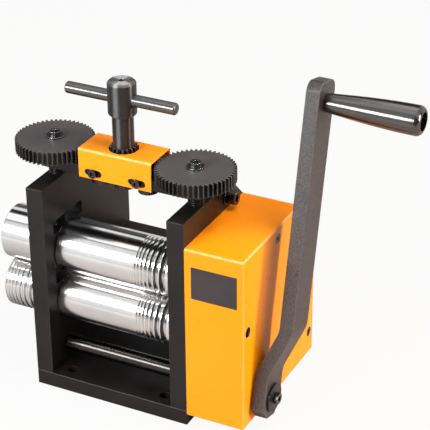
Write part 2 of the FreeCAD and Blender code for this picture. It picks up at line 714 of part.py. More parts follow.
def bored(name, blank, level, start, length):
    """Cut the shaft's bore and keyway out of a gear or ring."""
    tools = [
        rod(name + "_bore", "seat_dia", "%s + 2" % length, "%s - 1" % start, "roller_line",
            level + "_axis", TURNS["right"]),
        block(name + "_keyway", "%s + 2" % length, "key_wide", "key_wide", "%s - 1" % start,
              "roller_line - key_wide / 2", level + "_axis + seat_dia / 2 - key_wide / 2"),
    ]
    return cut(name + "_bored", blank, *tools)


def extension_ring(level):
    """A ring on the left shaft end: plain above, with half-round grooves below."""
    outer = value("roller_dia / 2")
    wide = value("ring_wide")
    bevel = 0.8
    shape = turned([(0, 0), (0, outer - bevel), (bevel, outer), (wide - bevel, outer),
                    (wide, outer - bevel), (wide, 0)])
    if level == "lower":
        row = [value("ring_groove_" + word) for word in ("first", "wide", "growth", "land", "count")]
        rings = [Part.makeTorus(outer, reach, Vector(middle, 0, 0), Vector(1, 0, 0))
                 for middle, reach in vee_grooves(*row)]
        shape = shape.cut(rings)
    blank = solid(level + "_ring_blank", shape, "-ring_end", "roller_line", level + "_axis")
    node(level + "_extension_ring", bored(level + "_ring", blank, level, "-ring_end", "ring_wide"))
    node(level + "_ring_screw",
         cap_screw(level + "_ring_end", "frame_screw_dia", "18", "frame_head_dia", "5", "-ring_end",
                   "roller_line", level + "_axis", TURNS["left"], "ring_cap_dia", "ring_cap_thick"))


def sync_gear(level):
    """Long-toothed gear that pairs the rollers over the whole opening."""
    module = value("axis_rise") / value("sync_teeth")
    teeth = int(value("sync_teeth"))
    toward = 1 if level == "lower" else -1
    phase = angle_on_x(0, toward) + (0 if level == "lower" else 180 / teeth)
    hub = None
    start = "sync_start"
    length = "sync_wide"
    if level == "upper":
        hub = (value("hub_dia / 2"), value("sync_start - gear_start"))
        start = "gear_start"
        length = "(sync_start - gear_start + sync_wide)"
    shape = gear_shape(module, teeth, value("sync_wide"), phase, SYNC_ADDENDUM * module,
                       SYNC_DEDENDUM * module, SYNC_THIN * module, hub)
    blank = solid(level + "_sync_blank", shape, "sync_start", "roller_line", level + "_axis",
                  TURNS["right"])
    node(level + "_pairing_gear", bored(level + "_sync", blank, level, start, length))


# Long teeth with free play keep the rollers paired while their gap opens.
SYNC_ADDENDUM = 0.96
SYNC_DEDENDUM = 1.3
SYNC_THIN = 0.14


def drive_direction():
    """Back and up from the lower roller's axis to the crank's axis."""
    return value("crank_line - roller_line"), value("crank_axis - lower_axis")


def drive_gears():
    """The crank's pinion and the gear on the lower roller's shaft."""
    module = value("drive_module")
    back, up = drive_direction()
    wide = value("drive_wide")
    big = gear_shape(module, int(value("drive_teeth")), wide, angle_on_x(back, up),
                     module, 1.25 * module, 0.04 * module)
    blank = solid("drive_gear_blank", big, "gear_start", "roller_line", "lower_axis", TURNS["right"])
    node("drive_gear", bored("drive_gear_hole", blank, "lower", "gear_start", "drive_wide"))
    teeth = int(value("pinion_teeth"))
    small = gear_shape(module, teeth, wide, angle_on_x(-back, -up) + 180 / teeth,
                       module, 1.25 * module, 0.04 * module)
    blank = solid("pinion_blank", small, "gear_start", "crank_line", "crank_axis", TURNS["right"])
    bore = rod("pinion_bore", "shaft_end_dia", "drive_wide + 2", "gear_start - 1", "crank_line",
               "crank_axis", TURNS["right"])
    pin_hole = rod("pinion_pin_hole", "4", "44", "gear_start + drive_wide / 2", "crank_line",
                   "crank_axis - 22")
    node("drive_pinion", cut("pinion_body", blank, bore, pin_hole))


# ---------------------------------------------------------------- drive shaft and crank

def drive_shaft():
    """The shaft turns in both plates, and its wide middle keeps it between them."""
    middle_half = "plate_inner - shaft_play"
    parts = [
        rod("shaft_middle", "shaft_dia", "2 * (%s)" % middle_half, "-(%s)" % middle_half, "crank_line",
            "crank_axis", TURNS["right"]),
        rod("shaft_ends", "shaft_end_dia", "plate_outer + arm_start - 0.3", "-plate_outer",
            "crank_line", "crank_axis", TURNS["right"]),
        square_bar("shaft_square_end", "shaft_square", "arm_thick", "arm_start - 0.6", "crank_line",
                   "crank_axis"),
    ]
    tools = [
        rod("shaft_tap", "crank_screw_dia", "22", "arm_face - 20", "crank_line", "crank_axis",
            TURNS["right"]),
        rod("shaft_pin_hole", "4", "44", "gear_start + drive_wide / 2", "crank_line", "crank_axis - 22"),
    ]
    node("drive_shaft", cut("shaft_body", join("shaft_blank", *parts), *tools))
    node("pinion_pin", rod("pinion_pin_body", "4", "2 * shaft_end_dia",
                           "gear_start + drive_wide / 2", "crank_line", "crank_axis - shaft_end_dia"))
    for side, sign in (("left", "-1"), ("right", "1")):
        node(side + "_shaft_bush",
             ring_wall(side + "_shaft", "shaft_end_dia + 2 * run_play + 2 * bush_wall",
                       "shaft_end_dia + 2 * run_play", "plate_thick",
                       "%s * screw_side - plate_thick / 2" % sign, "crank_line", "crank_axis",
                       TURNS["right"]))


def crank_arm():
    """A flat bar that steps outward, its lower corners cut and its upper corners rounded."""
    bend_low = "arm_end + arm_bend_low"
    bend_high = "arm_end + arm_bend_high"
    top = "2 * arm_end + crank_radius"
    strip = padded("arm_strip", "XZ_Plane", [
        ("0", "0"), ("arm_thick", "0"), ("arm_thick", bend_low),
        ("arm_thick + arm_joggle", bend_high), ("arm_thick + arm_joggle", top),
        ("arm_joggle", top), ("arm_joggle", bend_high), ("0", bend_low)], "arm_wide")

    def edge_at(edge, *heights):
        ends = {round(corner.Z, 3) for corner in edge.Vertexes}
        return any(ends == {round(value(height), 3)} for height in heights)

    def is_bend(edge):
        return edge_at(edge, bend_low, bend_high) and abs(edge.BoundBox.YLength) > 1

    def is_top_corner(edge):
        return edge_at(edge, top) and abs(edge.BoundBox.XLength) > 1

    soften(strip, "Fillet", "arm_bend_round", is_bend)
    put(strip, "0", "arm_wide / 2", "-arm_end")
    face = padded("arm_front", "YZ_Plane", [
        ("arm_corner", "0"), ("arm_wide - arm_corner", "0"), ("arm_wide", "arm_corner"),
        ("arm_wide", top), ("0", top), ("0", "arm_corner")], "arm_thick + arm_joggle")
    soften(face, "Fillet", "arm_round", is_top_corner)
    put(face, "0", "-arm_wide / 2", "-arm_end")
    bar = doc.addObject("Part::Common", "arm_bar")
    bar.Base = strip
    bar.Tool = face
    put(bar, "arm_start", "crank_line", "crank_axis", lean())
    bar.setExpression("Placement.Rotation.Angle", formula("crank_lean"))
    arm = cut("arm_body", bar,
              square_bar("arm_square", "shaft_square + 2 * run_play", "arm_thick + 2", "arm_start - 1",
                         "crank_line", "crank_axis"),
              rod("arm_grip_hole", "spindle_dia", "arm_thick + 2", "arm_start + arm_joggle - 1",
                  "grip_line", "grip_axis", TURNS["right"]))
    node("crank_arm", arm)
    node("crank_washer", ring_wall("crank_washer", "crank_washer_dia", "crank_screw_dia + 0.4",
                                   "crank_washer_thick", "arm_face", "crank_line", "crank_axis",
                                   TURNS["right"]))
    node("crank_screw", cap_screw("crank_end", "crank_screw_dia", "16", "crank_head_dia",
                                  "crank_head_high", "arm_face + crank_washer_thick", "crank_line",
                                  "crank_axis", TURNS["right"]))


def grip():
    """A grip that swells toward its end and turns on a headed spindle screwed into the arm."""
    start = "grip_face + grip_play"
    length = value("grip_long")
    root = value("grip_root_dia / 2")
    end = value("grip_end_dia / 2")
    curve = value("grip_round")
    steps = 16
    belly = []
    for step in range(steps):
        share = step / steps
        belly.append((share * (length - curve), root + (end - root) * math.sin(share * math.pi / 2)))
    arc = [(length - curve + curve * math.sin(math.radians(angle)),
            end - curve + curve * math.cos(math.radians(angle))) for angle in range(0, 91, 15)]
    shape = turned([(0, 0)] + belly + arc + [(length, 0)])
    blank = solid("grip_blank", shape, start, "grip_line", "grip_axis")
    tools = [
        rod("grip_bore", "spindle_dia + 2 * run_play", "grip_long + 2", start + " - 1", "grip_line",
            "grip_axis", TURNS["right"]),
        rod("grip_counterbore", "grip_bore_dia", "grip_bore_deep + 1",
            start + " + grip_long - grip_bore_deep", "grip_line", "grip_axis", TURNS["right"]),
    ]
    node("handle_grip", cut("grip_body", blank, *tools))
    neck = "grip_play + grip_long - grip_bore_deep + 0.3 + arm_thick"
    node("grip_spindle",
         cap_screw("spindle", "spindle_dia", neck, "spindle_head_dia", "spindle_head_high",
                   "grip_face + (%s) - arm_thick" % neck, "grip_line", "grip_axis", TURNS["right"]))


# ---------------------------------------------------------------- gear cover

def cover_form(name, inset, wide, bend):
    """A solid of the gear cover's form, its sides moved in and its outer edges bent."""
    slope_inset = "(sqrt(2) - 1) * (%s)" % inset
    back = "base_depth - (%s)" % inset
    high = "cover_high - cover_low - (%s)" % inset
    form = padded(name, "YZ_Plane", [
        (inset, inset), (back, inset), (back, "plate_top - back_slope - cover_low - " + slope_inset),
        ("plate_top - cover_high + base_depth - back_slope - " + slope_inset, high),
        (inset, high)], wide)
    far = value(wide)

    def bent(edge):
        at_face = all(abs(corner.X - far) < 0.01 for corner in edge.Vertexes)
        along = abs(edge.Vertexes[0].X - edge.Vertexes[-1].X) > 1
        return at_face or along

    return soften(form, "Fillet", bend, bent)


def gear_cover():
    """A folded sheet box, open toward the side plate, with the plates' own back slope."""
    form = put(cover_form("cover_form", "0", "cover_wide", "cover_bend"), "plate_outer", "front",
               "cover_low")
    hollow = put(cover_form("cover_hollow", "cover_wall", "cover_wide - cover_wall + 1",
                            "cover_bend - cover_wall"), "plate_outer - 1", "front", "cover_low")
    tools = [rod("cover_shaft_hole", "cover_hole_dia", "20", "cover_face - 10", "crank_line",
                 "crank_axis", TURNS["right"])]
    posts = []
    screws = []
    for back, high in COVER_SCREWS:
        y = "front + " + back
        tools.append(rod("cover_screw_hole", "cover_screw_dia + 0.4", "20", "cover_face - 10", y, high,
                         TURNS["right"]))
        tools.append(taper("cover_sink", "cover_screw_dia", "cover_head_dia + 0.2", "cover_head_high",
                           "cover_face - cover_head_high", y, high, TURNS["right"]))
        post = rod("standoff", "standoff_dia", "cover_wide - cover_wall", "plate_outer", y, high,
                   TURNS["right"])
        stud = rod("standoff_stud", "cover_screw_dia", "10", "plate_outer - 9", y, high, TURNS["right"])
        tap = rod("standoff_hole", "cover_screw_dia", "16", "cover_face - cover_wall - 14", y, high,
                  TURNS["right"])
        sink = taper("standoff_sink", "cover_screw_dia", "cover_head_dia + 0.2", "cover_head_high",
                     "cover_face - cover_head_high", y, high, TURNS["right"])
        posts.append(cut("post", join("post_blank", post, stud), tap, sink))
        head = taper("cover_screw_head", "cover_screw_dia", "cover_head_dia", "cover_head_high",
                     "cover_face - cover_head_high", y, high, TURNS["right"])
        shank = rod("cover_screw_shank", "cover_screw_dia", "12", "cover_face - cover_head_high - 11", y,
                    high, TURNS["right"])
        socket = hexagon("cover_screw_socket", "3.6", "3", "cover_face - 1.7", y, high, TURNS["right"])
        screws.append(cut("cover_screw", join("cover_screw_blank", head, shank), socket))
    node("gear_cover", cut("cover_body", form, hollow, *tools))
    node("cover_standoffs", together("standoff_set", *posts))
    node("cover_screws", together("cover_screw_set", *screws))
    plate = block("label_blank", "label_wide", "label_thick", "label_tall", "plate_outer + label_left",
                  "front - label_thick", "label_low")
    node("bare_plate", plate)


# ---------------------------------------------------------------- screw-down

def pressure_screw(side, sign):
    """A screw with its gear; the bridge bar rides on its shoulder."""
    x = "%s * screw_side" % sign
    parts = [
        rod(side + "_thread_rod", "screw_dia", "bar_low - block_top", x, "roller_line", "block_top"),
        rod(side + "_neck", "screw_neck_dia", "top_gear_low - bar_low + 1", x, "roller_line",
            "bar_low - 1"),
        rod(side + "_seat", "screw_seat_dia", "top_gear_thick", x, "roller_line", "top_gear_low"),
    ]
    tap = rod(side + "_screw_tap", "top_screw_dia", "14", x, "roller_line", "top_gear_high - 13")
    node(side + "_pressure_screw", cut(side + "_screw_body", join(side + "_screw_blank", *parts), tap))
    module = value("top_module")
    teeth = int(value("screw_teeth"))
    inward = 180 if sign == "1" else 0
    shape = gear_shape(module, teeth, value("top_gear_thick"), inward, module, 1.25 * module,
                       0.04 * module)
    blank = solid(side + "_gear_blank", shape, x, "roller_line", "top_gear_low")
    bore = rod(side + "_gear_bore", "screw_seat_dia", "top_gear_thick + 2", x, "roller_line",
               "top_gear_low - 1")
    node(side + "_screw_gear", cut(side + "_gear_body", blank, bore))
    node(side + "_gear_screw",
         cap_screw(side + "_top", "top_screw_dia", "11", "screw_head_dia", "screw_head_high", x,
                   "roller_line", "top_gear_high", UP, "screw_flange_dia", "screw_flange_thick"))


def idler(side, sign):
    """An idler gear that turns on a stud in the bridge bar."""
    module = value("top_module")
    teeth = int(value("idler_teeth"))
    shape = gear_shape(module, teeth, value("top_gear_thick"), 180 / teeth, module, 1.25 * module,
                       0.04 * module, (value("stud_dia / 2") + 2, value("top_hub_high - 0.1")))
    x = "%s * idler_side" % sign
    blank = solid(side + "_idler_blank", shape, x, "roller_line", "top_gear_low")
    bore = rod(side + "_idler_bore", "stud_dia + 2 * run_play", "top_gear_thick + 4", x, "roller_line",
               "top_gear_low - 2")
    node(side + "_idler_gear", cut(side + "_idler_body", blank, bore))


def bridge():
    """The bar on the screws' shoulders, its studs and its sheet cover."""
    half = "bar_wide / 2"
    parts = [block("bar_middle", "2 * screw_side", "bar_wide", "bar_thick", "-screw_side",
                   "roller_line - " + half, "bar_low")]
    tools = [rod("bar_spindle_hole", "spindle_foot_dia + 2 * run_play", "bar_thick + 2", "0",
                 "roller_line", "bar_low - 1")]
    studs = []
    for sign in ("-1", "1"):
        parts.append(rod("bar_end", "bar_wide", "bar_thick", "%s * screw_side" % sign, "roller_line",
                         "bar_low"))
        tools.append(rod("bar_neck_hole", "screw_neck_dia + 2 * run_play", "bar_thick + 2",
                         "%s * screw_side" % sign, "roller_line", "bar_low - 1"))
        tools.append(rod("bar_stud_hole", "stud_dia", "bar_thick + 2", "%s * idler_side" % sign,
                         "roller_line", "bar_low - 1"))
        studs.append(cap_screw("idler_stud", "stud_dia", "top_gear_high - bar_low", "stud_head_dia",
                               "stud_head_high", "%s * idler_side" % sign, "roller_line", "bar_low",
                               TURNS["down"]))
    slot_high = "bar_low + bar_thick / 2"
    screws = []
    slots = []
    for face, sign, turn, back in (("front", "-1", "front", "back"), ("back", "1", "back", "front")):
        seat = "roller_line + %s * (%s + bridge_play + bridge_wall)" % (sign, half)
        bar_face = "roller_line + %s * %s" % (sign, half)
        for side in ("-1", "1"):
            x = "%s * slot_side" % side
            tools.append(rod("bar_tap", "slot_screw_dia", "8", x, bar_face, slot_high, TURNS[back]))
            screws.append(cap_screw(face + "_slot_screw", "slot_screw_dia", "bridge_wall + bridge_play + 7",
                                    "slot_head_dia", "slot_head_high", x, seat, slot_high, TURNS[turn]))
            straight = "slot_long - slot_tall"
            low_y = "roller_line + %s * (%s + bridge_play) - 3" % (sign, half)
            slots.append(block("slot_middle", straight, "6", "slot_tall", "%s - (%s) / 2" % (x, straight),
                               low_y, slot_high + " - slot_tall / 2"))
            for end in ("-1", "1"):
                slots.append(rod("slot_end", "slot_tall", "6", "%s + %s * (%s) / 2" % (x, end, straight),
                                 low_y, slot_high, TURNS["back"]))
    node("bridge_bar", cut("bar_body", join("bar_blank", *parts), *tools))
    node("idler_studs", together("stud_set", *studs))
    inner = "(bar_wide + 2 * bridge_play)"
    outer = "(%s + 2 * bridge_wall)" % inner
    sheet = padded("bridge_sheet", "YZ_Plane", [
        ("0", "0"), ("bridge_wall", "0"), ("bridge_wall", "bridge_tall - bridge_wall"),
        (outer + " - bridge_wall", "bridge_tall - bridge_wall"), (outer + " - bridge_wall", "0"),
        (outer, "0"), (outer, "bridge_tall"), ("0", "bridge_tall")], "bridge_long")
    high = value("bridge_tall")

    def top_bend(edge):
        along = abs(edge.Vertexes[0].X - edge.Vertexes[-1].X) > 1
        return along and abs(edge.Vertexes[0].Z - high) < 0.01

    soften(sheet, "Fillet", "bridge_bend", top_bend)
    put(sheet, "-bridge_long / 2", "roller_line - %s / 2" % outer, "bar_low - bridge_drop")
    hole = rod("bridge_hole", "bridge_hole_dia", "10", "0", "roller_line",
               "bar_low - bridge_drop + bridge_tall - 5")
    node("bridge_cover", cut("bridge_cover_body", sheet, hole, *slots))
    node("bridge_cover_screws", together("slot_screw_set", *screws))


def tee_handle():
    """The adjuster: a headed spindle with a cross bar, a pinion and a retaining screw."""
    parts = [
        taper("cap_foot", "cap_dia - 2 * cap_bevel", "cap_dia", "cap_bevel", z="cap_low"),
        rod("cap_middle", "cap_dia", "cap_tall - 2 * cap_bevel", z="cap_low + cap_bevel"),
        taper("cap_crown", "cap_dia", "cap_dia - 2 * cap_bevel", "cap_bevel", z="cap_high - cap_bevel"),
        rod("neck", "neck_dia", "neck_tall + 1", z="middle_high"),
        rod("spindle_foot", "spindle_foot_dia", "middle_high - bar_low + 1", z="bar_low"),
    ]
    tools = [
        rod("cap_dimple", "4.8", "4", z="cap_high - 3"),
        rod("cap_cross_hole", "tommy_dia", "cap_dia + 4", "-cap_dia / 2 - 2", z="tommy_axis",
            turn=TURNS["right"]),
        rod("spindle_tap", "frame_screw_dia", "17", z="bar_low - 1"),
    ]
    body = cut("tee_body", join("tee_blank", *parts), *tools)
    node("tee_handle", put(body, "0", "roller_line", "0"))
    ends = [
        taper("tommy_left", "tommy_dia - 2 * tommy_bevel", "tommy_dia", "tommy_bevel"),
        rod("tommy_middle", "tommy_dia", "tommy_long - 2 * tommy_bevel", z="tommy_bevel"),
        taper("tommy_right", "tommy_dia", "tommy_dia - 2 * tommy_bevel", "tommy_bevel",
              z="tommy_long - tommy_bevel"),
    ]
    node("cross_bar", put(join("tommy_bar", *ends), "-tommy_long / 2 - 1", "roller_line", "tommy_axis",
                          TURNS["right"]))
    module = value("top_module")
    shape = gear_shape(module, int(value("middle_teeth")), value("middle_thick"), 0, module,
                       1.25 * module, 0.04 * module,
                       (value("spindle_foot_dia / 2") + 1.5, value("top_hub_high - 0.1")))
    blank = solid("middle_blank", shape, "0", "roller_line", "top_gear_low")
    bore = rod("middle_bore", "spindle_foot_dia", "middle_thick + 4", "0", "roller_line",
               "top_gear_low - 2")
    node("adjuster_pinion", cut("middle_body", blank, bore))
    node("spindle_retainer",
         cap_screw("retainer", "frame_screw_dia", "14", "stud_head_dia", "stud_head_high - 0.3", "0",
                   "roller_line", "bar_low - 0.1", TURNS["down"]))


# ---------------------------------------------------------------- the whole mill

base_plate()
fit_base_screws()
for side_name, side_sign in (("left", "-1"), ("right", "1")):
    side_plate(side_name, side_sign)
    bearing("lower", side_name, side_sign, "window_low")
    bearing("upper", side_name, side_sign, "upper_axis - block_tall / 2")
    pressure_screw(side_name, side_sign)
    idler(side_name, side_sign)
tie_bar()
tie_rod()
return_springs()
for level_name in ("lower", "upper"):
    roller(level_name)
    extension_ring(level_name)
    sync_gear(level_name)
drive_gears()
drive_shaft()
crank_arm()
grip()
gear_cover()
bridge()
tee_handle()

doc.recompute()
for item in doc.Objects:
    if {"Invalid", "Error"} & set(item.State):
        raise RuntimeError("%s failed: %s" % (item.Label, item.State))
for item in nodes:
    if item.Shape.isNull() or not item.Shape.isValid():
        raise RuntimeError("%s has no valid shape" % item.Label)

os.makedirs("parts", exist_ok=True)
for item in nodes:
    item.Shape.exportStep(os.path.join("parts", item.Label + ".step"))
    box = item.Shape.BoundBox
    print("%-24s solids %d  volume %9.1f  x %7.1f %7.1f  y %7.1f %7.1f  z %7.1f %7.1f" % (
        item.Label, len(item.Shape.Solids), item.Shape.Volume, box.XMin, box.XMax, box.YMin,
        box.YMax, box.ZMin, box.ZMax))
print(len(nodes), "nodes")
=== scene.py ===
"""Looks of a jewellers rolling mill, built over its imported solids.

Sizes are in millimetres and become metres where a mesh is made. +X runs along the
rollers to the crank, +Y to the back, +Z up, and the origin is the middle of the base
plate's underside.
"""

from __future__ import annotations

import json
import logging
import math
from dataclasses import dataclass
from enum import Enum
from typing import Iterable, Sequence

import bmesh
import bpy
from mathutils import Matrix, Vector


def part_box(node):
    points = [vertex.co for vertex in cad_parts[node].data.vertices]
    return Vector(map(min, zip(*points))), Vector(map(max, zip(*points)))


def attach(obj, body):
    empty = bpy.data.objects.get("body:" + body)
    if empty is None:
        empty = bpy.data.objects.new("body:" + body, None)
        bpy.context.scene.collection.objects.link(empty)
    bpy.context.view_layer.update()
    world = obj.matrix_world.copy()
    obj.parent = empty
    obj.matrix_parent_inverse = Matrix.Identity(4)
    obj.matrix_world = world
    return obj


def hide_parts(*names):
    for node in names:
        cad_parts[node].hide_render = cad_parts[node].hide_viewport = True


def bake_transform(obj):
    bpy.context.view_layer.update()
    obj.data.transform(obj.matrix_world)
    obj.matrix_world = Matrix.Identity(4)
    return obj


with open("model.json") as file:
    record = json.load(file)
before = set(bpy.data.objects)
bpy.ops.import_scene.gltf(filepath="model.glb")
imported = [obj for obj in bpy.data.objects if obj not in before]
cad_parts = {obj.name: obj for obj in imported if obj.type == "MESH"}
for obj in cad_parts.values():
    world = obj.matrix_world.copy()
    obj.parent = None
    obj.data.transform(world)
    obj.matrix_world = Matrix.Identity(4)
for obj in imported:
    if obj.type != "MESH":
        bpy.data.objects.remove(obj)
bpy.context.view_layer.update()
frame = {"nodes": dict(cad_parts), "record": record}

MM = 0.001
WELD = 0.002 * MM
WHITE = (1.0, 1.0, 1.0, 1.0)
log = logging.getLogger("rolling_mill")
Colour = tuple[float, float, float]
Profile = Sequence[tuple[float, float]]


class Axis(Enum):
    """Direction that a turned piece runs in, as the turn that brings +Z there."""

    RIGHT = (math.pi / 2, "Y")
    BACK = (-math.pi / 2, "X")
    UP = (0.0, "X")
    LEFT = (-math.pi / 2, "Y")
    FRONT = (math.pi / 2, "X")
    DOWN = (math.pi, "X")

    def matrix(self) -> Matrix:
        """The rotation that brings +Z to this direction."""
        return Matrix.Rotation(self.value[0], 4, self.value[1])


# ------------------------------------------------------------------- finishes


class Tree:
    """A node tree, built a node at a time."""

    def __init__(self, tree: bpy.types.NodeTree) -> None:
        """Keep the tree's nodes and links at hand."""
        self.nodes = tree.nodes
        self.links = tree.links

    def add(self, kind: str, settings: dict | None = None, **inputs: object) -> bpy.types.Node:
        """Add a node and fill its inputs with values or links.

        Args:
            kind: The node's type.
            settings: Properties of the node itself.
            inputs: Input sockets by name, with underscores for spaces.

        Returns:
            The new node.
        """
        node = self.nodes.new(kind)
        for name, value in (settings or {}).items():
            setattr(node, name, value)
        for name, value in inputs.items():
            self.feed(node.inputs[name.replace("_", " ")], value)
        return node

    def feed(self, socket: bpy.types.NodeSocket, value: object) -> None:
        """Link or set one input.

        Args:
            socket: The input.
            value: A socket to link, or a value to set.
        """
        if isinstance(value, bpy.types.NodeSocket):
            self.links.new(value, socket)
        else:
            socket.default_value = value

    def math(self, operation: str, *values: object) -> bpy.types.NodeSocket:
        """Combine numbers.

        Args:
            operation: The math node's operation.
            values: Sockets or numbers, one for each input.

        Returns:
            The result's socket.
        """
        node = self.add("ShaderNodeMath", {"operation": operation})
        for socket, value in zip(node.inputs, values):
            self.feed(socket, value)
        return node.outputs[0]

    def mix(self, share: object, first: bpy.types.NodeSocket,
            second: bpy.types.NodeSocket) -> bpy.types.NodeSocket:
        """Mix two surfaces or backgrounds.

        Args:
            share: Share of the second one.
            first: A surface's socket.
            second: A surface's socket.

        Returns:
            The mixed surface's socket.
        """
        node = self.add("ShaderNodeMixShader", Fac=share)
        self.feed(node.inputs[1], first)
        self.feed(node.inputs[2], second)
        return node.outputs[0]


class Shader(Tree):
    """A material's node tree."""

    def __init__(self, name: str) -> None:
        """Start a material with a principled surface.

        Args:
            name: The material's name.
        """
        self.material = bpy.data.materials.new(name)
        self.material.use_nodes = True
        super().__init__(self.material.node_tree)
        self.nodes.clear()
        self.output = self.add("ShaderNodeOutputMaterial")
        self.surface = self.add("ShaderNodeBsdfPrincipled")
        self.show(self.surface.outputs[0])

    def show(self, surface: bpy.types.NodeSocket) -> None:
        """Make a surface the one that the material shows."""
        self.feed(self.output.inputs["Surface"], surface)

    def spot(self) -> bpy.types.NodeSocket:
        """The piece's own coordinates."""
        return self.add("ShaderNodeTexCoord").outputs["Object"]

    def facing(self) -> bpy.types.bpy_prop_collection:
        """The piece's own X, Y and Z shares of the way that a spot faces."""
        normal = self.add("ShaderNodeTexCoord").outputs["Normal"]
        return self.add("ShaderNodeSeparateXYZ", Vector=normal).outputs

    def noise(self, vector: object, scale: float, detail: float = 3.0,
              roughness: float = 0.55) -> bpy.types.NodeSocket:
        """A noise pattern as one number a point.

        Args:
            vector: Where the pattern is read.
            scale: Waves a metre.
            detail: Octaves.
            roughness: How strong the small octaves are.

        Returns:
            The pattern's socket.
        """
        node = self.add("ShaderNodeTexNoise", Vector=vector, Scale=scale, Detail=detail,
                        Roughness=roughness)
        return node.outputs["Fac"]

    def spread(self, value: object, low: float, high: float, to_low: float,
               to_high: float) -> bpy.types.NodeSocket:
        """Stretch a number from one range to another, and hold it there.

        Args:
            value: The socket to read.
            low: Start of the range read.
            high: End of the range read.
            to_low: What the start becomes.
            to_high: What the end becomes.

        Returns:
            The stretched number's socket.
        """
        node = self.add("ShaderNodeMapRange")
        for socket, item in zip(node.inputs, (value, low, high, to_low, to_high)):
            self.feed(socket, item)
        return node.outputs[0]

    def blend(self, factor: object, first: object, second: object) -> bpy.types.NodeSocket:
        """Mix two colours.

        Args:
            factor: Share of the second colour.
            first: A colour or its socket.
            second: A colour or its socket.

        Returns:
            The mixed colour's socket.
        """
        node = self.add("ShaderNodeMix", {"data_type": "RGBA"})
        self.feed(node.inputs[0], factor)
        self.feed(node.inputs[6], first)
        self.feed(node.inputs[7], second)
        return node.outputs[2]


def rgba(colour: Colour) -> tuple[float, float, float, float]:
    """The colour with full opacity."""
    return (*colour, 1.0)


@dataclass(frozen=True)
class Finish:
    """A surface finish: a base colour that clouds and wears, over a fine grain."""

    name: str
    slot: str
    base: Colour
    cloud: Colour
    edge: Colour
    metallic: float = 0.0
    rough: tuple[float, float] = (0.35, 0.5)
    grain: float = 900.0
    relief: float = 0.05
    relief_depth: float = 0.0002
    cloud_scale: float = 14.0
    wear: float = 0.6
    specular: float = 0.5
    anisotropic: float = 0.0
    rubbed: tuple[float, float] = (0.35, 1.0)

    def place(self, shader: Shader) -> bpy.types.NodeSocket:
        """Where the grain is read: straight from the piece's own coordinates."""
        return shader.spot()

    def height(self, shader: Shader, where: bpy.types.NodeSocket) -> bpy.types.NodeSocket:
        """The grain's height."""
        return shader.noise(where, self.grain, 4.0)

    def tone(self, shader: Shader, colour: bpy.types.NodeSocket) -> bpy.types.NodeSocket:
        """The colour before wear; a plain finish keeps it."""
        return colour

    def make(self) -> bpy.types.Material:
        """The finish as a material, built once.

        Returns:
            The material.
        """
        known = bpy.data.materials.get(self.name)
        if known:
            return known
        shader = Shader(self.name)
        surface = shader.surface
        open_space = shader.spot()
        where = self.place(shader)
        height = self.height(shader, where)
        patches = shader.spread(shader.noise(open_space, self.cloud_scale, 5.0, 0.6), 0.35, 0.7, 0.0, 1.0)
        colour = self.tone(shader, shader.blend(patches, rgba(self.base), rgba(self.cloud)))
        # The edge layer carries wear and, for the orange enamel and the bright screws, a painted highlight.
        rim = shader.add("ShaderNodeAttribute", {"attribute_name": "edge_wear"}).outputs["Fac"]
        rubbed = shader.spread(shader.noise(open_space, 320.0, 4.0), 0.35, 0.65, *self.rubbed)
        worn_and_lit = self.wearing(shader, shader.math("MULTIPLY", shader.math("MULTIPLY", rim, rubbed), self.wear))
        shader.feed(surface.inputs["Base Color"], shader.blend(worn_and_lit, colour, rgba(self.edge)))
        smear = shader.noise(open_space, self.cloud_scale * 4.0, 6.0, 0.65)
        mixed = shader.math("ADD", shader.math("MULTIPLY", smear, 0.6), shader.math("MULTIPLY", height, 0.4))
        shader.feed(surface.inputs["Roughness"], shader.spread(mixed, 0.35, 0.65, *self.rough))
        bump = shader.add("ShaderNodeBump", Strength=self.relief, Distance=self.relief_depth, Height=height)
        shader.feed(surface.inputs["Normal"], bump.outputs[0])
        surface.inputs["Metallic"].default_value = self.metallic
        surface.inputs["Specular IOR Level"].default_value = self.specular
        surface.inputs["Anisotropic"].default_value = self.anisotropic
        self.brush(shader)
        return shader.material

    def wearing(self, shader: Shader, worn_and_lit: bpy.types.NodeSocket) -> bpy.types.NodeSocket:
        """Where edges wear and, on some finishes, carry a painted highlight; a plain finish puts it on all of
        them.
        """
        return worn_and_lit

    def brush(self, shader: Shader) -> None:
        """Point the highlights' stretch; an even finish has none."""


